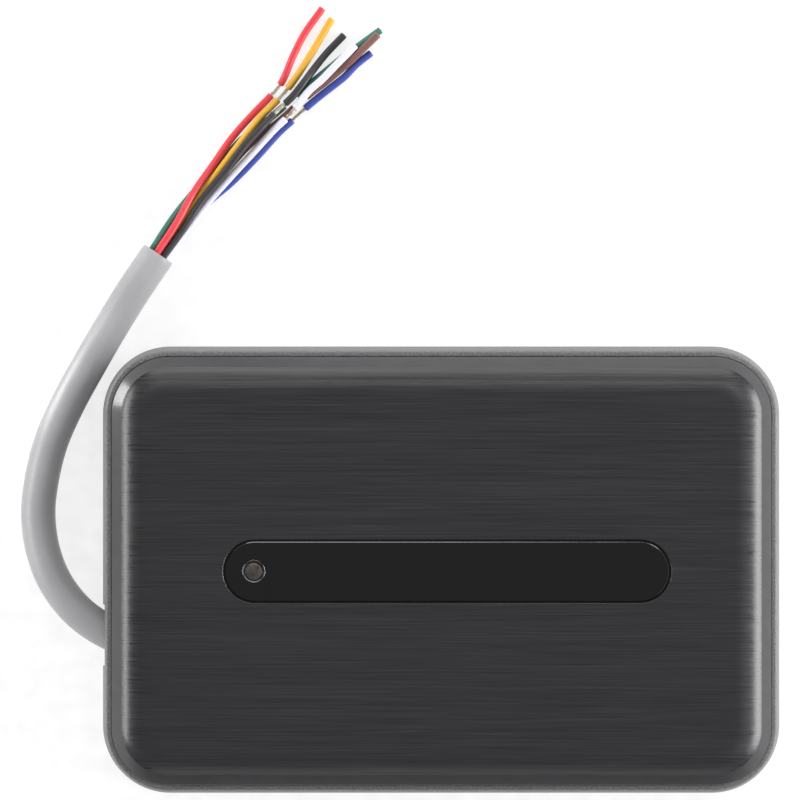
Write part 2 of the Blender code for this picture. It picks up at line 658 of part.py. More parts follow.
def build_round_components():
    foot = BOARD_TOP + SOLDER_GAP
    can = (
        (0.0, foot + 0.0044), (0.0023, foot + 0.0044), (0.0026, foot + 0.0041),
        (0.0026, foot + 0.0012), (0.00245, foot + 0.0010), (0.0026, foot + 0.0008),
        (0.0026, foot), (0.0, foot),
    )
    turned("electrolytic_capacitor_1", can, "can_metal", (0.0140, -0.0130, 0), steps=16)
    turned("electrolytic_capacitor_2", can, "can_metal", (0.0060, -0.0130, 0), steps=16)
    shell = (
        (0.0, foot + 0.0030), (0.0010, foot + 0.0030), (0.0010, foot + 0.0042),
        (0.0056, foot + 0.0042), (0.0060, foot + 0.0038), (0.0060, foot), (0.0, foot),
    )
    turned("buzzer", shell, "buzzer_plastic", (0.0140, 0.0170, 0))


def build_connector():
    """A shrouded header under the board, with the cable's plug pushed into it from the left."""
    half = 3 * PIN_PITCH + PIN_MARGIN
    thick = PLUG_HALF_HEIGHT
    shroud = box(
        "board_header",
        (PLUG_X + HEADER_FRONT, PLUG_Y - half - HEADER_WALL, PLUG_Z - thick - HEADER_WALL),
        (PLUG_X + HEADER_BACK, PLUG_Y + half + HEADER_WALL, BOARD_BOTTOM - SOLDER_GAP),
    )
    header = place("board_header", shroud, "white_nylon")
    mouth = box(
        "header_cut",
        (PLUG_X, PLUG_Y - half - GAP, PLUG_Z - thick - GAP),
        (PLUG_X + PLUG_DEPTH + GAP, PLUG_Y + half + GAP, PLUG_Z + thick + GAP),
    )
    cut(header, helper("header_cut", mouth))
    plug_low = (PLUG_X, PLUG_Y - half, PLUG_Z - thick)
    plug_high = (PLUG_X + PLUG_DEPTH, PLUG_Y + half, PLUG_Z + thick)
    place("cable_plug", box("cable_plug", plug_low, plug_high), "white_nylon")


def build_leads():
    """The cores between the end of the jacket and the plug, easing from a bundle into a row."""
    begin = JACKET_ROUTE[0][0] + GAP
    run = PLUG_X - GAP - begin
    for pin, (color, angle) in enumerate(LEADS):
        ring = 0.0 if color == "yellow" else LEAD_RING
        y = GROMMET_Y + ring * math.cos(math.radians(angle))
        z = GROMMET_Z + ring * math.sin(math.radians(angle))
        aside = PLUG_Y + (pin - len(LEADS) // 2) * PIN_PITCH - y
        route = []
        for step in range(LEAD_POINTS):
            u = step / (LEAD_POINTS - 1)
            ease = (u + u * u * (3 - 2 * u)) / 2
            route.append((begin + u * run, y + ease * aside, z + ease * (PLUG_Z - z)))
        tube(f"lead_{color}", route, CORE, f"core_{color}")


def build_cable():
    tube("cable_jacket", smooth_route(JACKET_ROUTE, JACKET_POINTS), JACKET, "jacket_grey", 4)
    for color in FAN:
        tube(f"core_{color}", smooth_route(fan_route(color), CORE_POINTS), CORE, f"core_{color}")


clear_scene()
PARTS = make_collection("rfid_card_reader")
CUTTERS = make_collection("rfid_card_reader_cutters")
CUTTERS.hide_render = True
build_base()
build_cover()
build_window()
build_lens()
build_seal()
build_grommet()
build_tie()
build_board()
build_coil()
build_chips()
build_round_components()
build_connector()
build_leads()
build_cable()
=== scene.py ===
import json
import math

import bmesh
import bpy
import numpy as np
from mathutils import Matrix, Vector

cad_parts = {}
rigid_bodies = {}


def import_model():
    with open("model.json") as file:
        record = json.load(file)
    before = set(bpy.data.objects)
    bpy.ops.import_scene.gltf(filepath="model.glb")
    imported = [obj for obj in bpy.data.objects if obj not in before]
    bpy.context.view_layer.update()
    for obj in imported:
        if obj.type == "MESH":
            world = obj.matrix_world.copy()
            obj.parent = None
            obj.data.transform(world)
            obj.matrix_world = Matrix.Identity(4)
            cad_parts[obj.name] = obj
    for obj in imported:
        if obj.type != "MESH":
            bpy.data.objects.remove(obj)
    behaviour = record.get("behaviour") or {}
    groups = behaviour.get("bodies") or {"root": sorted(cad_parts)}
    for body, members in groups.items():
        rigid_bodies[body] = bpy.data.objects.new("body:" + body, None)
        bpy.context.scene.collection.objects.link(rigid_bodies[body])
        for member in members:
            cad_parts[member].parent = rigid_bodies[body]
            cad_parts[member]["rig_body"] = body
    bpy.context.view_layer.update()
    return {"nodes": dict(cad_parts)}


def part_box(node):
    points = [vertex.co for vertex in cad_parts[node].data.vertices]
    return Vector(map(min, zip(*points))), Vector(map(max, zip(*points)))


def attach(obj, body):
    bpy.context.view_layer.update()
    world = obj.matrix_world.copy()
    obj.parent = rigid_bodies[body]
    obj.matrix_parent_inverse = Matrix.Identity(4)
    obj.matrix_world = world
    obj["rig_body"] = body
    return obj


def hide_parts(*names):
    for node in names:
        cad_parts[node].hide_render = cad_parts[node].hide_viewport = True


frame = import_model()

NODES = frame["nodes"]

# ---------------------------------------------------------------- camera and stage

VIEW_CENTRE = (-0.0073, 0.0301)
VIEW_WIDTH = 0.1420
VIEW_DISTANCE = 2.0
SENSOR = 36.0


def add_camera():
    data = bpy.data.cameras.new("camera")
    data.sensor_width = SENSOR
    data.lens = SENSOR * VIEW_DISTANCE / VIEW_WIDTH
    data.clip_end = 20.0
    camera = bpy.data.objects.new("camera", data)
    camera.location = (*VIEW_CENTRE, VIEW_DISTANCE)
    bpy.context.scene.collection.objects.link(camera)
    bpy.context.scene.camera = camera


def add_softbox(name, location, size, power, target=(0.0, 0.0, 0.01), gleam_only=False):
    """A rectangular soft light that faces the reader. A gleam-only one shows in reflections alone."""
    data = bpy.data.lights.new(name, "AREA")
    data.shape = "RECTANGLE"
    data.size, data.size_y = size
    data.energy = power
    light = bpy.data.objects.new(name, data)
    light.location = location
    direction = Vector(target) - Vector(location)
    light.rotation_mode = "QUATERNION"
    light.rotation_quaternion = direction.to_track_quat("-Z", "Y")
    light.visible_camera = False
    light.visible_diffuse = not gleam_only
    bpy.context.scene.collection.objects.link(light)


def add_lights():
    add_softbox("softbox_left", (-0.95, 0.10, 0.37), (0.9, 0.17), 7.8)
    add_softbox("softbox_right", (0.85, 0.00, 0.29), (0.9, 0.30), 12.0)
    add_softbox("softbox_top", (0.00, 0.95, 0.33), (1.0, 0.40), 3.8)
    add_softbox("strip_above", (0.10, 0.60, 0.90), (1.1, 0.06), 1.3)
    add_softbox("softbox_low", (0.00, -1.05, 0.35), (0.9, 0.40), 1.1)
    add_softbox("corner_kicker", (-0.0825, 0.0415, 0.006), (0.016, 0.007), 0.0050,
                target=(-0.055, 0.0325, 0.017), gleam_only=True)
    add_softbox("fade_top", (0.00, 0.75, 0.72), (1.4, 0.75), 1.7, gleam_only=True)
    add_softbox("fade_right", (0.75, 0.00, 0.72), (1.2, 0.75), 1.5, gleam_only=True)
    world = bpy.data.worlds.new("studio")
    world.use_nodes = True
    background = world.node_tree.nodes["Background"]
    background.inputs["Color"].default_value = (1.0, 1.0, 1.0, 1.0)
    background.inputs["Strength"].default_value = 0.34
    bpy.context.scene.world = world
    bpy.context.scene.view_settings.view_transform = "Standard"


# ---------------------------------------------------------------- materials


class Graph:
    """A material's node tree, with short ways to add and join nodes."""

    def __init__(self, name):
        self.material = bpy.data.materials.new(name)
        self.material.use_nodes = True
        self.nodes = self.material.node_tree.nodes
        self.links = self.material.node_tree.links
        self.shader = self.nodes["Principled BSDF"]
        self.place = self.nodes.new("ShaderNodeTexCoord").outputs["Object"]

    def join(self, value, socket):
        """Links another node's output to a socket, or sets the socket to a number or a colour."""
        if isinstance(value, bpy.types.NodeSocket):
            self.links.new(value, socket)
        else:
            socket.default_value = (*value, 1.0) if isinstance(value, tuple) else value

    def stretched(self, scale):
        """Object coordinates, in metres, scaled along each axis."""
        mapping = self.nodes.new("ShaderNodeMapping")
        self.links.new(self.place, mapping.inputs["Vector"])
        mapping.inputs["Scale"].default_value = scale
        return mapping.outputs["Vector"]

    def noise(self, scale, detail=2.0, roughness=0.5):
        """Noise with a scale for each axis, or one for all three."""
        scales = scale if isinstance(scale, tuple) else (scale, scale, scale)
        node = self.nodes.new("ShaderNodeTexNoise")
        self.links.new(self.stretched(scales), node.inputs["Vector"])
        node.inputs["Scale"].default_value = 1.0
        node.inputs["Detail"].default_value = detail
        node.inputs["Roughness"].default_value = roughness
        return node.outputs["Fac"]

    def ramp(self, value, low, high, out_low=0.0, out_high=1.0):
        node = self.nodes.new("ShaderNodeMapRange")
        self.links.new(value, node.inputs["Value"])
        node.inputs["From Min"].default_value = low
        node.inputs["From Max"].default_value = high
        node.inputs["To Min"].default_value = out_low
        node.inputs["To Max"].default_value = out_high
        return node.outputs["Result"]

    def math(self, operation, first, second):
        node = self.nodes.new("ShaderNodeMath")
        node.operation = operation
        self.join(first, node.inputs[0])
        self.join(second, node.inputs[1])
        return node.outputs["Value"]

    def blend(self, amount, first, second):
        """A colour between two others."""
        node = self.nodes.new("ShaderNodeMix")
        node.data_type = "RGBA"
        self.join(amount, node.inputs["Factor"])
        self.join(first, node.inputs[6])
        self.join(second, node.inputs[7])
        return node.outputs[2]

    def bump(self, height, depth):
        node = self.nodes.new("ShaderNodeBump")
        self.links.new(height, node.inputs["Height"])
        node.inputs["Distance"].default_value = depth
        node.inputs["Strength"].default_value = 1.0
        return node.outputs["Normal"]

    def finish(self, colour, roughness, normal=None, **settings):
        self.join(colour, self.shader.inputs["Base Color"])
        self.join(roughness, self.shader.inputs["Roughness"])
        if normal:
            self.links.new(normal, self.shader.inputs["Normal"])
        for name, value in settings.items():
            self.shader.inputs[name.replace("_", " ")].default_value = value
        return self.material


def shade(colour, factor):
    return tuple(min(1.0, channel * factor) for channel in colour)


def brushed_plastic():
    """Dark satin plastic with fine streaks along X, of several lengths."""
    g = Graph("brushed_plastic")
    fine = g.noise((60.0, 6400.0, 900.0), 2.0)
    medium = g.noise((24.0, 3600.0, 400.0), 2.0, 0.6)
    broad = g.noise((7.0, 300.0, 120.0), 2.0)
    bright = g.ramp(g.noise((42.0, 3300.0, 500.0), 1.0), 0.62, 0.76)
    dark = g.ramp(g.noise((30.0, 2900.0, 610.0), 1.0), 0.62, 0.76)
    tone = g.math("ADD", g.math("MULTIPLY", fine, 0.45), g.math("MULTIPLY", medium, 0.40))
    tone = g.math("ADD", tone, g.math("MULTIPLY", broad, 0.15))
    colour = g.blend(g.ramp(tone, 0.34, 0.66), (0.0158, 0.0154, 0.0174), (0.0218, 0.0212, 0.0238))
    colour = g.blend(g.math("MULTIPLY", bright, 0.35), colour, (0.044, 0.043, 0.046))
    colour = g.blend(g.math("MULTIPLY", dark, 0.5), colour, (0.009, 0.009, 0.0095))
    roughness = g.ramp(tone, 0.35, 0.65, 0.24, 0.38)
    g.join(g.ramp(tone, 0.36, 0.64, 0.36, 0.64), g.shader.inputs["Specular IOR Level"])
    normal = g.bump(g.math("ADD", fine, medium), 0.000014)
    return g.finish(colour, roughness, normal)


def gloss_plastic(name, colour, roughness=0.12):
    """Moulded gloss plastic: a faint orange peel and a little dust-fine variation."""
    g = Graph(name)
    peel = g.noise(420.0, 2.0)
    specks = g.noise(3800.0, 1.0)
    tone = g.blend(g.ramp(peel, 0.35, 0.65), shade(colour, 0.9), shade(colour, 1.12))
    rough = g.ramp(specks, 0.3, 0.7, roughness * 0.85, roughness * 1.2)
    return g.finish(tone, rough, g.bump(peel, 0.000006), Coat_Weight=0.2, Coat_Roughness=0.16)


def textured_plastic(name, colour, grain=2600.0, depth=0.00006, roughness=0.5):
    """Moulded plastic with a fine spark-eroded grain."""
    g = Graph(name)
    pits = g.noise(grain, 3.0, 0.65)
    drift = g.noise(60.0, 2.0)
    tone = g.blend(g.ramp(pits, 0.35, 0.68), shade(colour, 0.62), shade(colour, 1.45))
    tone = g.blend(g.ramp(drift, 0.3, 0.7, 0.0, 0.16), tone, shade(colour, 0.8))
    rough = g.ramp(pits, 0.3, 0.7, roughness * 0.85, roughness * 1.15)
    return g.finish(tone, rough, g.bump(pits, depth))


def soft_pvc(name, colour, roughness=0.42, grain=1500.0):
    """Extruded PVC: satin, with faint drag lines and mottling."""
    g = Graph(name)
    mottle = g.noise(grain, 3.0, 0.6)
    drift = g.noise(110.0, 2.0)
    tone = g.blend(g.ramp(drift, 0.3, 0.7), shade(colour, 0.93), shade(colour, 1.06))
    tone = g.blend(g.ramp(mottle, 0.35, 0.65, 0.0, 0.18), tone, shade(colour, 0.82))
    rough = g.ramp(mottle, 0.3, 0.7, roughness * 0.9, roughness * 1.15)
    return g.finish(tone, rough, g.bump(mottle, 0.000012))


def metal(name, colour, roughness=0.28, grain=900.0):
    g = Graph(name)
    scratches = g.noise(grain, 3.0, 0.6)
    tone = g.blend(g.ramp(scratches, 0.3, 0.7), shade(colour, 0.88), shade(colour, 1.06))
    rough = g.ramp(scratches, 0.3, 0.7, roughness * 0.75, roughness * 1.3)
    return g.finish(tone, rough, g.bump(scratches, 0.000008), Metallic=1.0)


def smoked_window():
    g = Graph("smoked_window")
    wave = g.noise((95.0, 140.0, 95.0), 1.0)
    haze = g.noise(2400.0, 2.0)
    tone = g.blend(g.ramp(haze, 0.35, 0.65), (0.0022, 0.0021, 0.0021), (0.0034, 0.0032, 0.0031))
    rough = g.ramp(haze, 0.3, 0.7, 0.045, 0.075)
    return g.finish(tone, rough, g.bump(wave, 0.000010), Specular_IOR_Level=0.5)


def lens_plastic():
    g = Graph("lens_plastic")
    cloud = g.noise(900.0, 3.0, 0.6)
    grit = g.noise(3000.0, 2.0)
    tone = g.blend(g.ramp(cloud, 0.35, 0.65), (0.030, 0.026, 0.024), (0.074, 0.063, 0.057))
    rough = g.ramp(grit, 0.3, 0.7, 0.10, 0.18)
    return g.finish(tone, rough, g.bump(grit, 0.000006))


def board_laminate():
    """Green solder mask over tracks that run along X in some patches and along Y in others."""
    g = Graph("board_laminate")
    split = g.nodes.new("ShaderNodeSeparateXYZ")
    g.links.new(g.place, split.inputs["Vector"])
    patch = g.nodes.new("ShaderNodeTexVoronoi")
    patch.distance = "CHEBYCHEV"
    g.links.new(g.stretched((150.0, 190.0, 0.0)), patch.inputs["Vector"])
    patch.inputs["Scale"].default_value = 1.0
    patch.inputs["Randomness"].default_value = 0.7
    choice = g.nodes.new("ShaderNodeSeparateColor")
    g.links.new(patch.outputs["Color"], choice.inputs["Color"])
    chance = choice.outputs["Red"]
    tracks = []
    for socket, low, high in (("X", 0.15, 0.50), ("Y", 0.50, 0.90)):
        wave = g.math("FRACT", g.math("MULTIPLY", split.outputs[socket], 1150.0), 0.0)
        line = g.math("MULTIPLY", g.math("GREATER_THAN", wave, 0.55), g.math("GREATER_THAN", chance, low))
        tracks.append(g.math("MULTIPLY", line, g.math("LESS_THAN", chance, high)))
    copper = g.math("MAXIMUM", tracks[0], tracks[1])
    weave = g.noise(900.0, 2.0)
    bare = g.blend(g.ramp(weave, 0.3, 0.7), (0.006, 0.050, 0.024), (0.009, 0.066, 0.031))
    tone = g.blend(copper, bare, (0.018, 0.135, 0.055))
    rough = g.ramp(weave, 0.3, 0.7, 0.26, 0.36)
    return g.finish(tone, rough, g.bump(copper, 0.00002))


def floor_paper():
    g = Graph("floor_paper")
    fibre = g.noise(300.0, 3.0)
    tone = g.blend(g.ramp(fibre, 0.3, 0.7), (0.285, 0.285, 0.285), (0.305, 0.305, 0.305))
    g.links.new(tone, g.shader.inputs["Emission Color"])
    return g.finish(tone, 0.9, Specular_IOR_Level=0.0, Emission_Strength=2.6)


CORE_COLOURS = {
    "red": (0.76, 0.055, 0.075), "yellow": (0.84, 0.46, 0.045), "black": (0.032, 0.032, 0.036),
    "white": (0.80, 0.80, 0.93), "brown": (0.22, 0.10, 0.085), "green": (0.040, 0.170, 0.130),
    "blue": (0.050, 0.075, 0.370),
}
MATERIALS = {
    "cover_brushed": brushed_plastic(),
    "cover_gloss": gloss_plastic("cover_gloss", (0.028, 0.028, 0.031), 0.36),
    "base_textured": textured_plastic("base_textured", (0.150, 0.150, 0.153)),
    "collar_metal": metal("collar_metal", (0.13, 0.13, 0.135), 0.24),
    "smoked_window": smoked_window(),
    "lens_clear": lens_plastic(),
    "jacket_grey": soft_pvc("jacket_grey", (0.40, 0.40, 0.41)),
    **{f"core_{color}": soft_pvc(f"core_{color}", tone, 0.36, 3500.0) for color, tone in CORE_COLOURS.items()},
    "tinned_copper": metal("tinned_copper", (0.66, 0.60, 0.52), 0.32),
    "black_rubber": soft_pvc("black_rubber", (0.018, 0.018, 0.018), 0.6),
    "white_nylon": soft_pvc("white_nylon", (0.70, 0.69, 0.64), 0.45),
    "adhesive_tape": soft_pvc("adhesive_tape", (0.05, 0.05, 0.05), 0.8),
    "board_laminate": board_laminate(),
    "zinc_steel": metal("zinc_steel", (0.62, 0.62, 0.60), 0.3),
    "enamelled_copper": metal("enamelled_copper", (0.56, 0.20, 0.075), 0.32, 150.0),
    "chip_epoxy": textured_plastic("chip_epoxy", (0.016, 0.016, 0.017), 5000.0, 0.00001, 0.5),
    "can_metal": metal("can_metal", (0.68, 0.68, 0.69), 0.25),
    "buzzer_plastic": textured_plastic("buzzer_plastic", (0.014, 0.014, 0.014), 4000.0, 0.00001, 0.4),
    "led_package": soft_pvc("led_package", (0.75, 0.73, 0.62), 0.4),
    "ferrite": textured_plastic("ferrite", (0.05, 0.05, 0.055), 3000.0, 0.00002, 0.6),
    "laminate_edge": soft_pvc("laminate_edge", (0.34, 0.29, 0.14), 0.7, 4000.0),
    "solder": metal("solder", (0.72, 0.72, 0.71), 0.26, 2500.0),
    "ceramic_tan": soft_pvc("ceramic_tan", (0.28, 0.17, 0.09), 0.4, 4000.0),
    "board_ink": soft_pvc("board_ink", (0.72, 0.72, 0.70), 0.6, 4000.0),
}

# ---------------------------------------------------------------- shapes

ARC_STEPS = 20
TOUCHING = 0.000001


def collect(name, mesh, body, materials):
    """Shows a finished mesh as a piece that rides on a body."""
    obj = bpy.data.objects.new(name, mesh)
    for item in materials:
        mesh.materials.append(item)
    bpy.context.scene.collection.objects.link(obj)
    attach(obj, body)
    return obj


def smooth(mesh, degrees=32.0):
    mesh.shade_smooth()
    mesh.set_sharp_from_angle(angle=math.radians(degrees))


def round_outline(width, height, radius, segments=ARC_STEPS):
    """The points of a rectangle with round corners, anticlockwise."""
    points = []
    for side_x, side_y, start in ((1, -1, -90), (1, 1, 0), (-1, 1, 90), (-1, -1, 180)):
        centre_x = side_x * (width / 2 - radius)
        centre_y = side_y * (height / 2 - radius)
        for step in range(segments + 1):
            angle = math.radians(start + 90 * step / segments)
            point = (centre_x + radius * math.cos(angle), centre_y + radius * math.sin(angle))
            if not points or math.dist(point, points[-1]) > TOUCHING:
                points.append(point)
    return points


def finished(bm):
    mesh = bpy.data.meshes.new("made")
    bm.to_mesh(mesh)
    bm.free()
    return mesh


def join_rings(bm, rings, capped=True):
    """Faces from each ring of points to the next, then either two end caps or a row back to the first."""
    following = rings[1:] if capped else [*rings[1:], rings[0]]
    faces = []
    for near, far in zip(rings, following):
        for step in range(len(near)):
            after = (step + 1) % len(near)
            faces.append(bm.faces.new((near[step], near[after], far[after], far[step])))
    if capped:
        faces.append(bm.faces.new(rings[0][::-1]))
        faces.append(bm.faces.new(rings[-1]))
    return faces


def slab_mesh(outline, profile):
    """A closed block over an outline. The profile is pairs of inset and height, from one face on."""
    bm = bmesh.new()
    first_inset, first_height = profile[0]
    face = bm.faces.new([bm.verts.new((x, y, first_height)) for x, y in outline])
    bm.normal_update()
    inset, height = first_inset, first_height
    for next_inset, next_height in profile[1:]:
        bmesh.ops.inset_region(
            bm, faces=[face], thickness=next_inset - inset, depth=next_height - height,
            use_boundary=True, use_even_offset=True,
        )
        inset, height = next_inset, next_height
    bmesh.ops.edgeloop_fill(bm, edges=[edge for edge in bm.edges if edge.is_boundary])
    bmesh.ops.remove_doubles(bm, verts=bm.verts, dist=5 * TOUCHING)
    bmesh.ops.recalc_face_normals(bm, faces=bm.faces)
    return finished(bm)


def arc_profile(centre, radius, start, end, steps):
    """Points of inset and height on an arc, by angle from the inset axis, in degrees."""
    points = []
    for step in range(steps + 1):
        angle = math.radians(start + (end - start) * step / steps)
        points.append((centre[0] + radius * math.cos(angle), centre[1] + radius * math.sin(angle)))
    return points


def add_box(bm, low, high, material_index=0):
    made = bmesh.ops.create_cube(bm, size=1.0)
    bmesh.ops.scale(bm, vec=Vector(high) - Vector(low), verts=made["verts"])
    bmesh.ops.translate(bm, vec=(Vector(high) + Vector(low)) / 2, verts=made["verts"])
    for face in {face for vert in made["verts"] for face in vert.link_faces}:
        face.material_index = material_index


def box_mesh(low, high):
    bm = bmesh.new()
    add_box(bm, low, high)
    return finished(bm)


def lathe_mesh(profile, steps=48, place=Matrix()):
    """A closed turned shape from pairs of radius and height, first and last on the axis."""
    bm = bmesh.new()
    rings = []
    for radius, height in profile:
        if radius < TOUCHING:
            rings.append([bm.verts.new((0.0, 0.0, height))])
            continue
        ring = []
        for step in range(steps):
            angle = 2 * math.pi * step / steps
            ring.append(bm.verts.new((radius * math.cos(angle), radius * math.sin(angle), height)))
        rings.append(ring)
    for above, below in zip(rings, rings[1:]):
        for step in range(steps):
            after = (step + 1) % steps
            corners = [above[step % len(above)], below[step % len(below)],
                       below[after % len(below)], above[after % len(above)]]
            unique = list(dict.fromkeys(corners))
            if len(unique) > 2:
                bm.faces.new(unique)
    bmesh.ops.recalc_face_normals(bm, faces=bm.faces)
    bmesh.ops.transform(bm, matrix=place, verts=bm.verts)
    return finished(bm)


def shaped(mesh, changes):
    """The mesh after a list of Boolean changes, each an operation and another mesh."""
    obj = bpy.data.objects.new("shaping", mesh)
    bpy.context.scene.collection.objects.link(obj)
    others = []
    for operation, other_mesh in changes:
        other = bpy.data.objects.new("shaper", other_mesh)
        bpy.context.scene.collection.objects.link(other)
        others.append(other)
        modifier = obj.modifiers.new("change", "BOOLEAN")
        modifier.operation = operation
        modifier.object = other
        modifier.solver = "EXACT"
    graph = bpy.context.evaluated_depsgraph_get()
    made = bpy.data.meshes.new_from_object(obj.evaluated_get(graph), depsgraph=graph)
    for used in (obj, *others):
        bpy.data.objects.remove(used)
    return made


def weld_slivers(mesh):
    """Closes up the corners and edges that Boolean changes leave almost touching."""
    bm = bmesh.new()
    bm.from_mesh(mesh)
    bmesh.ops.remove_doubles(bm, verts=bm.verts, dist=5 * TOUCHING)
    bmesh.ops.dissolve_degenerate(bm, edges=bm.edges, dist=5 * TOUCHING)
    bm.to_mesh(mesh)
    bm.free()


def smooth_route(points, count):
    """Evenly spaced points on a smooth curve through a route's points."""
    knots = np.array(points, dtype=float)
    gaps = np.sqrt(np.linalg.norm(np.diff(knots, axis=0), axis=1))
    times = np.concatenate([[0.0], np.cumsum(gaps)])
    slopes = np.gradient(knots, times, axis=0)
    dense = []
    for i in range(len(knots) - 1):
        span = times[i + 1] - times[i]
        u = np.linspace(0.0, 1.0, 40, endpoint=False)[:, None]
        dense.append(
            (2 * u**3 - 3 * u**2 + 1) * knots[i]
            + (u**3 - 2 * u**2 + u) * span * slopes[i]
            + (3 * u**2 - 2 * u**3) * knots[i + 1]
            + (u**3 - u**2) * span * slopes[i + 1]
        )
    dense = np.concatenate(dense + [knots[-1:]])
    along = np.concatenate([[0.0], np.cumsum(np.linalg.norm(np.diff(dense, axis=0), axis=1))])
    even = np.linspace(0.0, along[-1], count)
    return np.stack([np.interp(even, along, dense[:, axis]) for axis in range(3)], axis=1)


def frames_along(path):
    """Two directions square to a path at each of its points, turning as little as they can."""
    tangents = np.gradient(path, axis=0)
    tangents /= np.linalg.norm(tangents, axis=1)[:, None]
    side = np.cross(tangents[0], (0.0, 0.0, 1.0))
    side /= np.linalg.norm(side)
    sides = []
    for tangent in tangents:
        side = side - tangent * side.dot(tangent)
        side /= np.linalg.norm(side)
        sides.append(side)
    sides = np.array(sides)
    return sides, np.cross(tangents, sides)


def length_of(path):
    return float(np.linalg.norm(np.diff(path, axis=0), axis=1).sum())


def round_ring(bm, centre, radius, across, up, sides):
    """A ring of points about a centre, in the plane of two directions."""
    ring = []
    for step in range(sides):
        angle = 2 * math.pi * step / sides
        ring.append(bm.verts.new(centre + radius * (math.cos(angle) * across + math.sin(angle) * up)))
    return ring


def add_tube(bm, path, radii, sides, material_index=0, offset=None):
    """A tube with closed ends. Radii are one per point of the path; offset moves its centre."""
    across, up = frames_along(path)
    centres = path if offset is None else path + across * offset[:, :1] + up * offset[:, 1:]
    rings = [round_ring(bm, *at, sides) for at in zip(centres, radii, across, up)]
    for face in join_rings(bm, rings):
        face.material_index = material_index
        face.smooth = True


def mesh_of(bm, degrees=40.0):
    """The mesh, with its faces turned out and edges sharper than an angle left sharp."""
    bmesh.ops.recalc_face_normals(bm, faces=bm.faces)
    mesh = finished(bm)
    smooth(mesh, degrees)
    return mesh


# ---------------------------------------------------------------- cable

JACKET = 0.0061
JACKET_BORE = 0.00235
JACKET_HOLLOW = 0.0050
JACKET_SIDES = 48
JACKET_EDGE = 0.00012
CORE = 0.0013
CORE_EDGE = 0.00007
CORE_HIDDEN = (0.0040, 0.0020)
JACKET_ROUTE = (
    (0.0152, -0.0180, 0.0056),
    (0.0080, -0.0180, 0.0056),
    (-0.0040, -0.0179, 0.0052),
    (-0.0160, -0.0177, 0.0044),
    (-0.0280, -0.0173, 0.0036),
    (-0.0380, -0.0165, 0.00315),
    (-0.0470, -0.0151, 0.0031),
    (-0.0540, -0.0131, 0.0031),
    (-0.0600, -0.0105, 0.0031),
    (-0.0646, -0.0071, 0.0031),
    (-0.0684, -0.0021, 0.0031),
    (-0.0706, 0.0036, 0.0031),
    (-0.0714, 0.0098, 0.0031),
    (-0.0709, 0.0153, 0.0031),
    (-0.0692, 0.0224, 0.0031),
    (-0.0663, 0.0291, 0.0031),
    (-0.0624, 0.0363, 0.0031),
    (-0.0584, 0.0432, 0.0031),
    (-0.0545, 0.0495, 0.0031),
    (-0.0501, 0.0560, 0.0031),
)
FAN_START = (-0.0499, 0.0563)
FAN_ANGLE = math.radians(48.7)
FORWARD = np.array([math.cos(FAN_ANGLE), math.sin(FAN_ANGLE)])
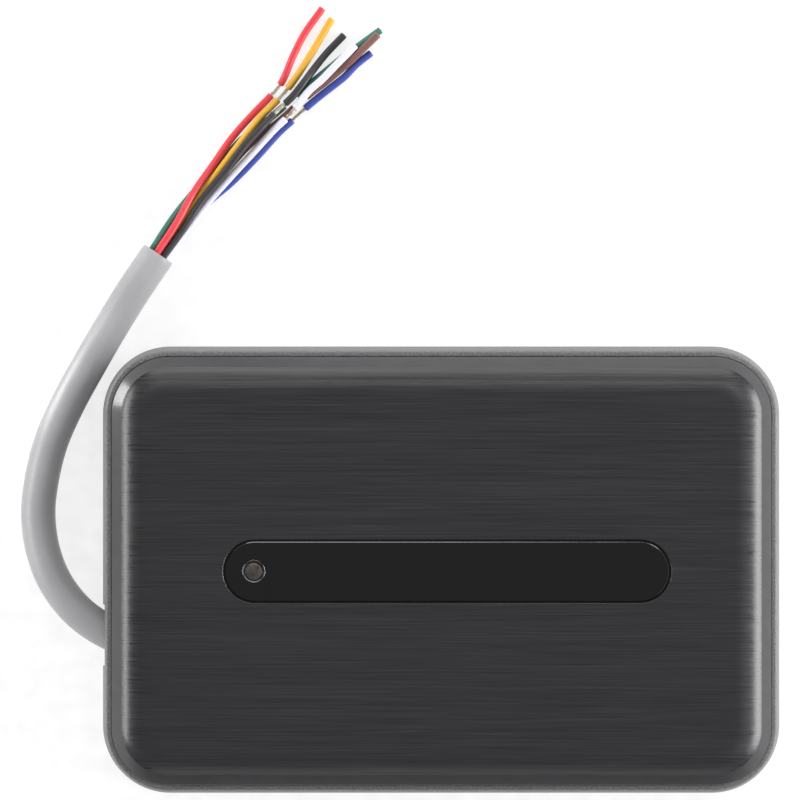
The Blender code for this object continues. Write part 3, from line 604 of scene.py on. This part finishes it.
FAN = {
    "red": (
        (0.0, -0.00029, 0.00447), (0.006, -0.00115, 0.0041), (0.012, -0.00245, 0.00295),
        (0.018, -0.00315, 0.0019), (0.024, -0.0038, 0.0009), (0.030, -0.00375, 0.0007),
        (0.034, -0.00355, 0.0007), (0.037, -0.0037, 0.0007), (0.042, -0.0053, 0.0007),
        (0.046, -0.0063, 0.0007), (0.0516, -0.0069, 0.0007),
    ),
    "yellow": (
        (0.0, 0.0, 0.0031), (0.006, -0.00075, 0.0027), (0.012, -0.0013, 0.0021),
        (0.018, -0.00165, 0.00205), (0.024, -0.00205, 0.00205), (0.027, -0.00225, 0.0021),
        (0.030, -0.0024, 0.0016), (0.033, -0.0022, 0.0010), (0.036, -0.0021, 0.0007),
        (0.039, -0.0023, 0.0007), (0.044, -0.00305, 0.0007), (0.0513, -0.0044, 0.0007),
    ),
    "black": (
        (0.0, 0.00104, 0.00404), (0.006, 0.00045, 0.0037), (0.012, -0.00045, 0.0033),
        (0.018, -0.00065, 0.0031), (0.024, -0.00115, 0.00315), (0.028, -0.00105, 0.00285),
        (0.033, -0.00085, 0.00215), (0.036, -0.00055, 0.00215), (0.039, -0.00065, 0.0020),
        (0.042, -0.0009, 0.0013), (0.046, -0.0011, 0.00075), (0.0506, -0.0009, 0.0007),
    ),
    "white": (
        (0.0, 0.00133, 0.00267), (0.006, 0.00105, 0.0023), (0.012, 0.0006, 0.00215),
        (0.018, 0.0006, 0.00195), (0.024, 0.00075, 0.00185), (0.030, 0.0009, 0.0020),
        (0.033, 0.0012, 0.0021), (0.036, 0.0011, 0.00215), (0.039, 0.0010, 0.0021),
        (0.042, 0.0014, 0.0021), (0.046, 0.0016, 0.0021), (0.0505, 0.0019, 0.0020),
    ),
    "brown": (
        (0.0, -0.00104, 0.00216), (0.006, -0.00115, 0.00125), (0.012, -0.0010, 0.00075),
        (0.018, -0.00075, 0.0007), (0.024, -0.0007, 0.0007), (0.027, -0.0003, 0.0007),
        (0.030, 0.0003, 0.0007), (0.033, 0.00075, 0.0007), (0.036, 0.00105, 0.0007),
        (0.039, 0.0015, 0.0007), (0.042, 0.0021, 0.0007), (0.045, 0.0026, 0.00095),
        (0.048, 0.00305, 0.0016), (0.051, 0.0033, 0.0019), (0.0546, 0.0036, 0.0021),
    ),
    "green": (
        (0.0, -0.00133, 0.00353), (0.006, -0.0022, 0.0024), (0.012, -0.0025, 0.00085),
        (0.018, -0.0022, 0.0007), (0.024, -0.00235, 0.0007), (0.027, -0.0018, 0.0007),
        (0.030, -0.00115, 0.0007), (0.033, -0.0007, 0.0007), (0.036, -0.00035, 0.0007),
        (0.039, 0.0001, 0.0007), (0.042, 0.00065, 0.0007), (0.045, 0.00115, 0.0007),
        (0.048, 0.0017, 0.0007), (0.051, 0.0024, 0.0007), (0.0555, 0.0034, 0.0007),
    ),
    "blue": (
        (0.0, 0.00029, 0.00173), (0.006, 0.0003, 0.00085), (0.012, 0.00055, 0.0007),
        (0.018, 0.0014, 0.0007), (0.024, 0.00175, 0.0007), (0.030, 0.00185, 0.0007),
        (0.033, 0.0022, 0.0007), (0.036, 0.0025, 0.0007), (0.039, 0.00295, 0.0007),
        (0.042, 0.0035, 0.0007), (0.045, 0.00405, 0.0007), (0.048, 0.0042, 0.0007),
        (0.05135, 0.0048, 0.0007),
    ),
}
# Where each core's insulation is parted, as distances along the fan's axis.
GAPS = {
    "red": (0.0340, 0.0363),
    "yellow": (0.0342, 0.0368),
    "black": (0.0318, 0.0344),
    "white": (0.0326, 0.0350),
    "brown": (0.0352, 0.0378),
    "green": (0.0342, 0.0368),
    "blue": (0.0332, 0.0362),
}
STRANDS = 7
STRAND = 0.00011
STRAND_RING = 0.00022
STRAND_TWIST = 900.0


def jacket_mesh(path):
    """The jacket, with the end of its bore open where the cores come out."""
    bm = bmesh.new()
    across, up = frames_along(path)
    hollow = max(2, round(JACKET_HOLLOW / length_of(path) * len(path)))
    last = len(path) - 1
    sections = [(0, JACKET / 2 - JACKET_EDGE)]
    sections += [(i, JACKET / 2) for i in range(last)]
    sections += [(last, JACKET / 2 - JACKET_EDGE), (last, JACKET_BORE + JACKET_EDGE / 2)]
    sections += [(i, JACKET_BORE) for i in range(last - 1, last - hollow, -1)]
    join_rings(bm, [round_ring(bm, path[i], radius, across[i], up[i], JACKET_SIDES) for i, radius in sections])
    return mesh_of(bm, 50.0)


def add_jacket():
    path = smooth_route(JACKET_ROUTE, 260)
    obj = collect("cable_outer_jacket", jacket_mesh(path), "base", [MATERIALS["jacket_grey"]])
    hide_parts("cable_jacket")


def fan_route(color):
    """A core's route in world coordinates, from its points in the fan."""
    right = np.array([FORWARD[1], -FORWARD[0]])
    route = []
    for along, aside, height in FAN[color]:
        x, y = np.array(FAN_START) + along * FORWARD + aside * right
        route.append((x, y, height))
    return np.array(route)


def core_path(color):
    """The core's line, with a short straight start inside the jacket."""
    outward = np.array(JACKET_ROUTE[-1]) - np.array(JACKET_ROUTE[-2])
    outward /= np.linalg.norm(outward)
    route = fan_route(color)
    hidden = [route[0] - outward * distance for distance in CORE_HIDDEN]
    return smooth_route([*hidden, *route], 240)


def core_mesh(color, path):
    """Insulation up to the gap, bare strands across it, and the loose end of insulation."""
    reach = (path[:, :2] - np.array(FAN_START)) @ FORWARD
    low, high = GAPS[color]
    first = int(np.argmin(abs(reach - low)))
    second = int(np.argmin(abs(reach - high)))
    bm = bmesh.new()
    for part in (path[: first + 1], path[second:]):
        radii = np.full(len(part), CORE / 2)
        radii[[0, -1]] = CORE / 2 - CORE_EDGE
        add_tube(bm, part, radii, 20)
    bare = path[first - 2 : second + 3]
    twist = np.linspace(0.0, length_of(bare) * STRAND_TWIST, len(bare))
    for strand in range(STRANDS):
        ring = 0.0 if strand == 0 else STRAND_RING
        phase = twist + strand * 2 * math.pi / (STRANDS - 1)
        offset = ring * np.stack([np.cos(phase), np.sin(phase)], axis=1)
        add_tube(bm, bare, np.full(len(bare), STRAND), 8, 1, offset)
    inner = path[-4:]
    add_tube(bm, np.concatenate([inner, inner[-1:] + (inner[-1] - inner[-2]) * 0.15]),
             np.full(len(inner) + 1, STRAND_RING + STRAND), 12, 1)
    return mesh_of(bm, 45.0)


def add_cores():
    for color in FAN:
        path = core_path(color)
        materials = [MATERIALS[f"core_{color}"], MATERIALS["tinned_copper"]]
        obj = collect(f"wire_{color}", core_mesh(color, path), "base", materials)
        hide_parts(f"core_{color}")


# ---------------------------------------------------------------- housing

BASE_LOW, BASE_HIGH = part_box("base_housing")
COVER_LOW, COVER_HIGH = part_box("front_cover")
BAR_LOW, BAR_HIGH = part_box("window_bar")
WIDTH = BASE_HIGH.x - BASE_LOW.x
HEIGHT = BASE_HIGH.y - BASE_LOW.y
CORNER = 0.0120
BASE_DRAFT = 0.0009
FLOOR = 0.0015
RIM = 0.00175
LEDGE = 0.0100
LEDGE_INSET = 0.0036
COVER_INSET = 0.0019
SKIRT = 0.0016
BEVEL_FOOT = 0.0156
BEVEL_RUN = 0.0018
BEVEL_TOP = 0.0182
SHOULDER_ANGLE = 40.0
ROOF = 0.0175
POCKET_FLOOR = 0.0182
POCKET_MARGIN = 0.0003
LENS_X = -0.0330
LENS_HOLE = 0.00205
COLLAR_HOLE = 0.00176
BAY = ((-0.0564, -0.0225), (0.0080, -0.0056))
BAY_ROOF = 0.0090
BAY_TOP = 0.0099
BAY_WALL = 0.0018
BAY_END_TOP = 0.0105
NOTCH = (-0.0170, -0.0061, 0.0072)
GROMMET_HOLE = 0.0040
GROMMET_AT = (0.0080, -0.0180, 0.0056)
WALL_SCREW_X = 0.04165
BOARD_SCREWS = ((-0.0330, -0.0285), (0.0330, -0.0285), (0.0330, 0.0240), (-0.0330, 0.0240))
FORMER_POSTS = ((-0.0538, -0.0270), (-0.0538, 0.0270), (0.0538, -0.0270), (0.0538, 0.0270))
PAST = 0.002


def body_outline(inset, segments=ARC_STEPS):
    return round_outline(WIDTH - 2 * inset, HEIGHT - 2 * inset, CORNER - inset, segments)


def post_mesh(x, y, radius, low, high, fillet=0.0):
    """An upright post, with an optional round edge at its top."""
    profile = [(0.0, high), (radius - fillet, high)]
    if fillet:
        profile += [(radius - fillet * (1 - math.sin(a)), high - fillet * (1 - math.cos(a)))
                    for a in (math.radians(30), math.radians(60), math.radians(90))]
    profile += [(radius, low), (0.0, low)]
    return lathe_mesh(profile, 32, Matrix.Translation((x, y, 0.0)))


def add_base():
    """The base: a drafted shell with a cover seat, the rear cable bay, bosses and posts."""
    top = BASE_HIGH.z
    edge = 0.0003
    profile = [(0.0, 0.0), (0.0, edge), (BASE_DRAFT - edge * 0.1, top - edge)]
    profile += [(BASE_DRAFT + edge * (1 - math.cos(a)), top - edge * (1 - math.sin(a)))
                for a in map(math.radians, (30, 60, 90))]
    shell = slab_mesh(body_outline(0.0), profile)
    seat = slab_mesh(body_outline(RIM), [(0.0, LEDGE), (0.0, top + PAST)])
    well = slab_mesh(body_outline(LEDGE_INSET), [(0.0, FLOOR), (0.0, top + PAST)])
    (left, low), (right, high) = BAY
    turn = Matrix.Translation(GROMMET_AT) @ Matrix.Rotation(math.pi / 2, 4, "Y")
    outer_low, outer_high = low - BAY_WALL, high + BAY_WALL
    grommet_hole = [(0.0, 0.0023), (GROMMET_HOLE, 0.0023), (GROMMET_HOLE, -0.0001), (0.0, -0.0001)]
    changes = [
        ("DIFFERENCE", seat),
        ("DIFFERENCE", well),
        ("UNION", box_mesh((left - 0.001, outer_low, FLOOR / 2), (right + BAY_WALL, outer_high, BAY_TOP))),
        ("UNION", box_mesh((right, outer_low, BAY_ROOF), (right + BAY_WALL, outer_high, BAY_END_TOP))),
        ("DIFFERENCE", box_mesh((left, low, -PAST), (right, high, BAY_ROOF))),
        ("DIFFERENCE", box_mesh((-WIDTH / 2 - PAST, NOTCH[0], -PAST), (left + PAST, NOTCH[1], NOTCH[2]))),
        ("DIFFERENCE", lathe_mesh(grommet_hole, 48, turn)),
    ]
    wall_screws = ((-WALL_SCREW_X, 0.0), (WALL_SCREW_X, 0.0))
    for places, radius, height, fillet in ((wall_screws, 0.0050, 0.0070, 0.0003),
                                           (BOARD_SCREWS, 0.0026, 0.0106, 0.0002),
                                           (FORMER_POSTS, 0.0019, 0.0123, 0.0003)):
        for x, y in places:
            changes.append(("UNION", post_mesh(x, y, radius, FLOOR / 2, height, fillet)))
    for places, radius, foot, height in ((wall_screws, 0.0022, -PAST, 0.0090),
                                         (BOARD_SCREWS, 0.0014, 0.0050, 0.0120)):
        for x, y in places:
            changes.append(("DIFFERENCE", post_mesh(x, y, radius, foot, height)))
    mesh = shaped(shell, changes)
    weld_slivers(mesh)
    smooth(mesh)
    obj = collect("base_shell", mesh, "base", [MATERIALS["base_textured"]])
    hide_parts("base_housing")


def cover_profile():
    """The cover's outside: a short wall, the gloss bevel, and the brushed shoulder."""
    slope = math.atan2(BEVEL_TOP - BEVEL_FOOT, BEVEL_RUN)
    soft = 0.0005
    profile = [(0.0, COVER_LOW.z), (0.0, BEVEL_FOOT - soft * math.tan((math.pi / 2 - slope) / 2))]
    turn = math.degrees(math.pi / 2 - slope)
    centre = (soft, BEVEL_FOOT - soft * math.tan((math.pi / 2 - slope) / 2))
    profile += arc_profile(centre, soft, 180.0, 180.0 - turn, 4)[1:]
    profile.append((BEVEL_RUN, BEVEL_TOP))
    rise = COVER_HIGH.z - BEVEL_TOP
    radius = rise / (1 - math.cos(math.radians(SHOULDER_ANGLE)))
    middle = (BEVEL_RUN + radius * math.sin(math.radians(SHOULDER_ANGLE)), COVER_HIGH.z - radius)
    profile += arc_profile(middle, radius, 90.0 + SHOULDER_ANGLE, 90.0, 18)[1:]
    return profile


def stadium(length, height):
    return round_outline(length, height, height / 2, 24)


def moved(mesh, offset):
    mesh.transform(Matrix.Translation(offset))
    return mesh


def add_cover():
    """The cover: a hollow shell with a pocket for the window bar. Only its shoulder and face are brushed."""
    shell = slab_mesh(body_outline(COVER_INSET), cover_profile())
    inside = [(0.0, COVER_LOW.z - PAST), (0.0, 0.0150), (0.0022, ROOF)]
    hollow = slab_mesh(body_outline(COVER_INSET + SKIRT), inside)
    length = BAR_HIGH.x - BAR_LOW.x + 2 * POCKET_MARGIN
    height = BAR_HIGH.y - BAR_LOW.y + 2 * POCKET_MARGIN
    middle = ((BAR_HIGH.x + BAR_LOW.x) / 2, 0.0, 0.0)
    flare = 0.00014
    top = COVER_HIGH.z
    cutter = [(0.0, top + flare), (2 * flare, top - flare), (2 * flare, POCKET_FLOOR)]
    pocket = moved(slab_mesh(stadium(length + 4 * flare, height + 4 * flare), cutter), middle)
    hole = post_mesh(LENS_X, 0.0, LENS_HOLE, ROOF - PAST, POCKET_FLOOR + 0.001)
    mesh = shaped(shell, [("DIFFERENCE", hollow), ("DIFFERENCE", pocket), ("DIFFERENCE", hole)])
    smooth(mesh, 14.0)
    crease = BEVEL_TOP + 0.00001
    for face in mesh.polygons:
        highest = max(mesh.vertices[index].co.z for index in face.vertices)
        lowest = min(mesh.vertices[index].co.z for index in face.vertices)
        outside = lowest >= BEVEL_TOP - 0.00001 and highest > crease and face.normal.z > 0.5
        face.material_index = 0 if outside else 1
    materials = [MATERIALS["cover_brushed"], MATERIALS["cover_gloss"]]
    obj = collect("cover_shell", mesh, "cover", materials)
    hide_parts("front_cover")


def add_window():
    length, height = BAR_HIGH.x - BAR_LOW.x, BAR_HIGH.y - BAR_LOW.y
    top = BAR_HIGH.z
    profile = [(0.0, BAR_LOW.z), (0.0, top - 0.00016), (0.00010, top - 0.00005), (0.00025, top)]
    bar = slab_mesh(stadium(length, height), profile)
    drill = lathe_mesh([(0.0, top + PAST), (LENS_HOLE, top + PAST), (LENS_HOLE, BAR_LOW.z - PAST),
                        (0.0, BAR_LOW.z - PAST)], 64)
    middle_x = (BAR_HIGH.x + BAR_LOW.x) / 2
    mesh = shaped(bar, [("DIFFERENCE", moved(drill, (LENS_X - middle_x, 0.0, 0.0)))])
    smooth(moved(mesh, (middle_x, 0.0, 0.0)), 12.0)
    obj = collect("window_panel", mesh, "cover", [MATERIALS["smoked_window"]])
    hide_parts("window_bar")


def ring_mesh(profile, steps, place):
    """A closed ring from a closed loop of radius and height."""
    bm = bmesh.new()
    sections = []
    for step in range(steps):
        angle = math.tau * step / steps
        sections.append([bm.verts.new((r * math.cos(angle), r * math.sin(angle), z)) for r, z in profile])
    join_rings(bm, sections, capped=False)
    bmesh.ops.transform(bm, matrix=place, verts=bm.verts)
    return mesh_of(bm, 12.0)


def add_collar():
    """The thin ring round the lens, with a lip that slopes towards it."""
    top = BAR_HIGH.z
    outer, inner = 0.00200, 0.00173
    lip = 0.00192
    profile = [(outer, top - 0.00003), (0.00196, top), (lip, top - 0.00001), (COLLAR_HOLE, top - 0.00007),
               (inner, top - 0.00012), (inner, BAR_LOW.z), (outer, BAR_LOW.z)]
    mesh = ring_mesh(profile, 64, Matrix.Translation((LENS_X, 0.0, 0.0)))
    collect("light_collar", mesh, "cover", [MATERIALS["collar_metal"]])


def add_lens():
    """The light pipe: a domed face, a flange under the cover's roof and a stem towards the LED."""
    low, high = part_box("led_lens")
    radius, dome_height = 0.00168, 0.00045
    dome = [(radius * math.sin(a), high.z - dome_height * (1 - math.cos(a)))
            for a in map(math.radians, (0, 15, 30, 45, 60, 75, 90))]
    flange, stem = 0.0027, 0.0015
    flange_top, flange_foot = ROOF - 0.0003, ROOF - 0.0003 - 0.0008
    profile = dome + [(radius, flange_top), (flange, flange_top), (flange, flange_foot),
                      (stem, flange_foot), (stem, low.z), (0.0, low.z)]
    mesh = lathe_mesh(profile, 64, Matrix.Translation((LENS_X, 0.0, 0.0)))
    smooth(mesh, 40.0)
    obj = collect("light_pipe", mesh, "cover", [MATERIALS["lens_clear"]])
    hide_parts("led_lens")


# ---------------------------------------------------------------- inside

SHOWN_NODES = {
    "window_tape": "adhesive_tape", "cover_seal": "black_rubber", "cable_grommet": "black_rubber",
    "cable_tie": "white_nylon", "coil_former": "white_nylon", "board_header": "white_nylon",
    "cable_plug": "white_nylon", "main_board": "board_laminate",
    "microcontroller": "chip_epoxy", "rf_chip": "chip_epoxy", "voltage_regulator": "chip_epoxy",
    "tamper_sensor": "chip_epoxy", "surge_diode_1": "chip_epoxy", "surge_diode_2": "chip_epoxy",
    "power_inductor": "ferrite", "crystal": "can_metal", "electrolytic_capacitor_1": "can_metal",
    "electrolytic_capacitor_2": "can_metal", "buzzer": "buzzer_plastic", "status_led": "led_package",
    **{f"lead_{color}": f"core_{color}" for color in FAN},
}
# How wide the softened edges are. Pieces that aren't named here take the usual width.
EDGE_WIDTHS = {"main_board": 0.00005, "window_tape": 0.0, "lead": 0.0, "microcontroller": 0.0001}
USUAL_EDGE = 0.00012


def add_node_copies():
    """Stands a softened copy in its own material in for each CAD node that nothing else replaces."""
    for name, slot in SHOWN_NODES.items():
        mesh = NODES[name].data.copy()
        mesh.materials.clear()
        materials = [MATERIALS[slot]]
        if name == "main_board":
            materials.append(MATERIALS["laminate_edge"])
            for face in mesh.polygons:
                face.material_index = 0 if abs(face.normal.z) > 0.5 else 1
        obj = collect(f"{name}_piece", mesh, NODES[name]["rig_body"], materials)
        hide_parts(name)
        width = EDGE_WIDTHS.get(name, EDGE_WIDTHS.get(name.split("_")[0], USUAL_EDGE))
        if not width:
            continue
        weld = obj.modifiers.new("weld", "WELD")
        weld.merge_threshold = 5 * TOUCHING
        bevel = obj.modifiers.new("edges", "BEVEL")
        bevel.width = width
        bevel.segments = 2
        bevel.limit_method = "ANGLE"
        bevel.angle_limit = math.radians(40)
        smooth(mesh, 30.0)


BOARD_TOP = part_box("main_board")[1].z
PAD = 0.00004


def add_flat(bm, x, y, length, width, low, high):
    """A flat block about a point on the board. Low and high are measured from the board's top."""
    add_box(bm, (x - length / 2, y - width / 2, BOARD_TOP + low),
            (x + length / 2, y + width / 2, BOARD_TOP + high))


def add_pad(bm, x, y, length, width):
    add_flat(bm, x, y, length, width, -PAD, PAD)


def add_leg(bm, start, outward, width, height, reach):
    """A bent leg that leaves a chip's side, drops to the board and runs on along it."""
    thick = 0.00014
    low = PAD + thick
    bends = ((-0.0001, height), (reach * 0.25, height), (reach * 0.5, low), (reach, low))
    out = Vector((*outward, 0.0))
    side = Vector((-outward[1], outward[0], 0.0)) * width / 2
    rings = []
    for distance, level in bends:
        base = Vector((start[0], start[1], BOARD_TOP)) + out * distance
        tops = Vector((0.0, 0.0, level))
        lows = Vector((0.0, 0.0, level - thick))
        corners = (side + tops, -side + tops, -side + lows, side + lows)
        rings.append([bm.verts.new(base + corner) for corner in corners])
    join_rings(bm, rings)


def add_legs(bm, name, count, pitch, sides, width, reach):
    """Legs and their pads along some sides of a chip."""
    low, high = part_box(name)
    middle = (low + high) / 2
    for side in sides:
        out = Vector(side)
        edge = Vector((middle.x, middle.y)) + Vector((out.x * (high.x - low.x), out.y * (high.y - low.y))) / 2
        for index in range(count):
            shift = (index - (count - 1) / 2) * pitch
            start = edge + Vector((-out.y, out.x)) * shift
            add_leg(bm, start, side, width, middle.z - BOARD_TOP, reach)
            spot = start + out * reach * 0.75
            long, short = reach * 0.8, width * 1.4
            size = (long, short) if side[0] else (short, long)
            add_pad(bm, spot.x, spot.y, *size)


X_SIDES = ((1, 0), (-1, 0))
Y_SIDES = ((0, 1), (0, -1))
# Rows of small parts: the first one's place, the step to the next, how many, and whether each lies along Y.
CHIP_ROWS = (
    (-0.0175, -0.0080, 0.0, 0.0035, 4, False), (-0.0120, 0.0135, 0.0035, 0.0, 4, True),
    (-0.0285, 0.0000, 0.0, 0.0, 1, True), (-0.0245, -0.0180, 0.0, 0.0035, 3, False),
    (0.0030, 0.0005, 0.0, 0.0035, 2, True), (0.0225, 0.0035, 0.0, 0.0040, 2, True),
    (0.0090, -0.0060, 0.0040, 0.0, 3, False), (0.0190, -0.0235, 0.0, -0.0030, 2, True),
    (-0.0040, -0.0225, 0.0, -0.0035, 2, False), (-0.0100, -0.0225, 0.0, -0.0035, 2, False),
    (-0.0280, 0.0180, 0.0035, 0.0, 3, True), (-0.0160, -0.0180, 0.0, 0.0035, 2, False),
    (0.0240, 0.0200, 0.0, 0.0, 1, False), (0.0290, 0.0085, 0.0, 0.0, 1, False),
)
CHIP_PARTS = [(x + i * step_x, y + i * step_y, turned)
              for x, y, step_x, step_y, count, turned in CHIP_ROWS for i in range(count)]
# Printed outlines: the middle, the length and the width of each.
INK_BOXES = (
    (-0.0080, -0.0050, 0.0136, 0.0136), (-0.0080, 0.0080, 0.0124, 0.0058), (0.0130, 0.0020, 0.0112, 0.0116),
    (0.0240, -0.0180, 0.0076, 0.0116), (0.0260, -0.0060, 0.0080, 0.0080), (0.0060, -0.0235, 0.0070, 0.0048),
    (0.0135, -0.0235, 0.0070, 0.0048), (0.0330, -0.0175, 0.0040, 0.0152),
)


def add_board_metal():
    """Pads, legs and solder on top of the board."""
    bm = bmesh.new()
    add_legs(bm, "microcontroller", 11, 0.0008, (*X_SIDES, *Y_SIDES), 0.00035, 0.0011)
    add_legs(bm, "rf_chip", 8, 0.00120, Y_SIDES, 0.00042, 0.0013)
    add_legs(bm, "voltage_regulator", 2, 0.0046, ((0, -1),), 0.0009, 0.0022)
    add_legs(bm, "voltage_regulator", 1, 0.0046, ((0, 1),), 0.0050, 0.0016)
    add_legs(bm, "surge_diode_1", 1, 0.0046, X_SIDES, 0.0018, 0.0009)
    add_legs(bm, "surge_diode_2", 1, 0.0046, X_SIDES, 0.0018, 0.0009)
    add_legs(bm, "tamper_sensor", 2, 0.0014, X_SIDES, 0.0005, 0.0007)
    add_legs(bm, "status_led", 2, 0.0016, X_SIDES, 0.0007, 0.0005)
    add_legs(bm, "power_inductor", 1, 0.0, Y_SIDES, 0.0030, 0.0007)
    for x, y, turned in CHIP_PARTS:
        for side in (-1, 1):
            spot = (x, y + side * 0.00085) if turned else (x + side * 0.00085, y)
            add_pad(bm, *spot, *((0.0009, 0.0007) if turned else (0.0007, 0.0009)))
            add_flat(bm, *spot, *((0.0008, 0.0004) if turned else (0.0004, 0.0008)), 0.0, 0.00052)
    obj = collect("board_metal", mesh_of(bm, 30.0), "base", [MATERIALS["solder"]])
    bevel = obj.modifiers.new("edges", "BEVEL")
    bevel.width = 0.00003
    bevel.segments = 1


def add_chip_parts():
    """The dark bodies of the small resistors and capacitors."""
    bm = bmesh.new()
    for index, (x, y, turned) in enumerate(CHIP_PARTS):
        half = (0.00038, 0.00068) if turned else (0.00068, 0.00038)
        add_box(bm, (x - half[0], y - half[1], BOARD_TOP + 0.00003),
                (x + half[0], y + half[1], BOARD_TOP + 0.0005), index % 3 // 2)
    materials = [MATERIALS["chip_epoxy"], MATERIALS["ceramic_tan"]]
    collect("chip_parts", mesh_of(bm, 30.0), "base", materials)


def add_ink():
    """Printed outlines on the board round its larger components."""
    bm = bmesh.new()
    line, ink = 0.00016, 0.00002
    for x, y, length, width in INK_BOXES:
        for side in (-1, 1):
            add_flat(bm, x, y + side * width / 2, length, line, -PAD, ink)
            add_flat(bm, x + side * length / 2, y, line, width, -PAD, ink)
    collect("board_ink", mesh_of(bm), "base", [MATERIALS["board_ink"]])


PINS = 7
PIN_PITCH = 0.0020
# The solder cone and the pin's tip, as pairs of radius and height above the board.
PIN_CONE = ((0.00085, 0.0), (0.00070, 0.00012), (0.00042, 0.00045), (0.00032, 0.0008), (0.00030, 0.0012),
            (0.00018, 0.0014))
SCREW_HEAD = 0.0015
SCREW_SHANK = 0.0011
# Half the length and half the width of one slot of the cross, and its floor above the head's foot.
RECESS = (0.0011, 0.00022)
RECESS_FLOOR = 0.0006


def add_pins():
    """The header's pins, each in a cone of solder where it comes up through the board."""
    low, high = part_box("cable_plug")
    middle = (low.y + high.y) / 2
    circle = [Vector((math.cos(math.tau * i / 16), math.sin(math.tau * i / 16), 0.0)) for i in range(16)]
    bm = bmesh.new()
    for pin in range(PINS):
        at = Vector((0.0330, middle + (pin - PINS // 2) * PIN_PITCH, BOARD_TOP))
        rings = []
        for radius, height in PIN_CONE:
            centre = at + Vector((0.0, 0.0, height))
            rings.append([bm.verts.new(centre + radius * spot) for spot in circle])
        join_rings(bm, rings)
    collect("header_pins", mesh_of(bm, 60.0), "base", [MATERIALS["solder"]])


def add_screws():
    """Pan-head screws with a cross recess."""
    for index in range(1, 5):
        low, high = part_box(f"board_screw_{index}")
        middle = (low + high) / 2
        radius = (high.x - low.x) / 2
        foot = high.z - SCREW_HEAD
        dome = [(radius * math.sin(a), foot + SCREW_HEAD * (0.30 + 0.70 * math.cos(a)))
                for a in map(math.radians, (0, 15, 30, 45, 60, 75, 90))]
        profile = [*dome, (radius, foot), (SCREW_SHANK, foot), (SCREW_SHANK, low.z + 0.0004), (0.0, low.z)]
        changes = []
        for x, y in (RECESS, RECESS[::-1]):
            low_corner = (middle.x - x, middle.y - y, foot + RECESS_FLOOR)
            changes.append(("DIFFERENCE", box_mesh(low_corner, (middle.x + x, middle.y + y, high.z + PAST))))
        mesh = shaped(lathe_mesh(profile, 40, Matrix.Translation((middle.x, middle.y, 0.0))), changes)
        smooth(mesh, 35.0)
        obj = collect(f"pan_screw_{index}", mesh, "base", [MATERIALS["zinc_steel"]])
        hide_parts(f"board_screw_{index}")


# The coil's tails: X midway between them, half their distance apart, Y and Z.
TAIL_ROUTE = (
    (-0.0265, 0.0015, 0.0338, 0.0157), (-0.0262, 0.0014, 0.0325, 0.0163), (-0.0262, 0.0012, 0.0302, 0.0160),
    (-0.0262, 0.0012, 0.0270, 0.0142), (-0.0262, 0.0012, 0.0248, 0.0127),
)
TAIL_WIRE = 0.00016


def add_winding():
    """The antenna coil as turns of wire, laid side by side and in layers, with its two tails."""
    low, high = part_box("antenna_coil")
    across, layers = 6, 8
    width, height = 0.0015, high.z - low.z
    first_inset = (WIDTH - (high.x - low.x)) / 2
    radius_x, radius_z = width / across / 2, height / layers / 2
    section = []
    runs = [
        [((radius_x * (2 * i + 1), height - radius_z), 180, 0) for i in range(across)],
        [((width - radius_x, radius_z * (2 * i + 1)), 90, -90) for i in reversed(range(layers))],
        [((radius_x * (2 * i + 1), radius_z), 0, -180) for i in reversed(range(across))],
        [((radius_x, radius_z * (2 * i + 1)), -90, -270) for i in range(layers)],
    ]
    for run in runs:
        # The side before has already gone a quarter of the way round the turn that both sides share.
        centre, start, end = run[0]
        run[0] = (centre, start - 90, end)
    for (x, z), start, end in [arc for run in runs for arc in run]:
        for step in range(5):
            angle = math.radians(start + (end - start) * step / 4)
            point = (x + radius_x * math.cos(angle), z + radius_z * math.sin(angle))
            if not section or math.dist(point, section[-1]) > 5 * TOUCHING:
                section.append(point)
    if math.dist(section[0], section[-1]) < 5 * TOUCHING:
        section.pop()
    bm = bmesh.new()
    rings = []
    for inset, z in section:
        rings.append([bm.verts.new((x, y, low.z + z)) for x, y in body_outline(first_inset + inset, 14)])
    join_rings(bm, rings, capped=False)
    for side in (-1, 1):
        route = [(x + side * aside, y, z) for x, aside, y, z in TAIL_ROUTE]
        add_tube(bm, smooth_route(route, 40), np.full(40, TAIL_WIRE), 10)
    copper = MATERIALS["enamelled_copper"]
    obj = collect("coil_winding", mesh_of(bm, 60.0), "base", [copper])
    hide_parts("antenna_coil")


def add_flag():
    """A black card beside the reader, seen only in its reflections."""
    mesh = box_mesh((-0.16, -0.17, 0.0), (0.16, -0.060, 0.0005))
    g = Graph("flag_felt")
    nap = g.noise(900.0, 2.0)
    mesh.materials.append(g.finish(g.blend(nap, (0.010, 0.010, 0.010), (0.020, 0.020, 0.020)), 0.9))
    flag = bpy.data.objects.new("flag", mesh)
    bpy.context.scene.collection.objects.link(flag)
    flag.visible_camera = False
    flag.visible_diffuse = False
    flag.visible_shadow = False


def add_floor():
    mesh = box_mesh((-4.0, -4.0, -0.02), (4.0, 4.0, -0.0001))
    mesh.materials.append(floor_paper())
    floor = bpy.data.objects.new("floor", mesh)
    bpy.context.scene.collection.objects.link(floor)


add_camera()
add_lights()
add_floor()
add_flag()
add_jacket()
add_cores()
add_base()
add_cover()
add_window()
add_collar()
add_lens()
add_board_metal()
add_chip_parts()
add_ink()
add_pins()
add_screws()
add_winding()
add_node_copies()
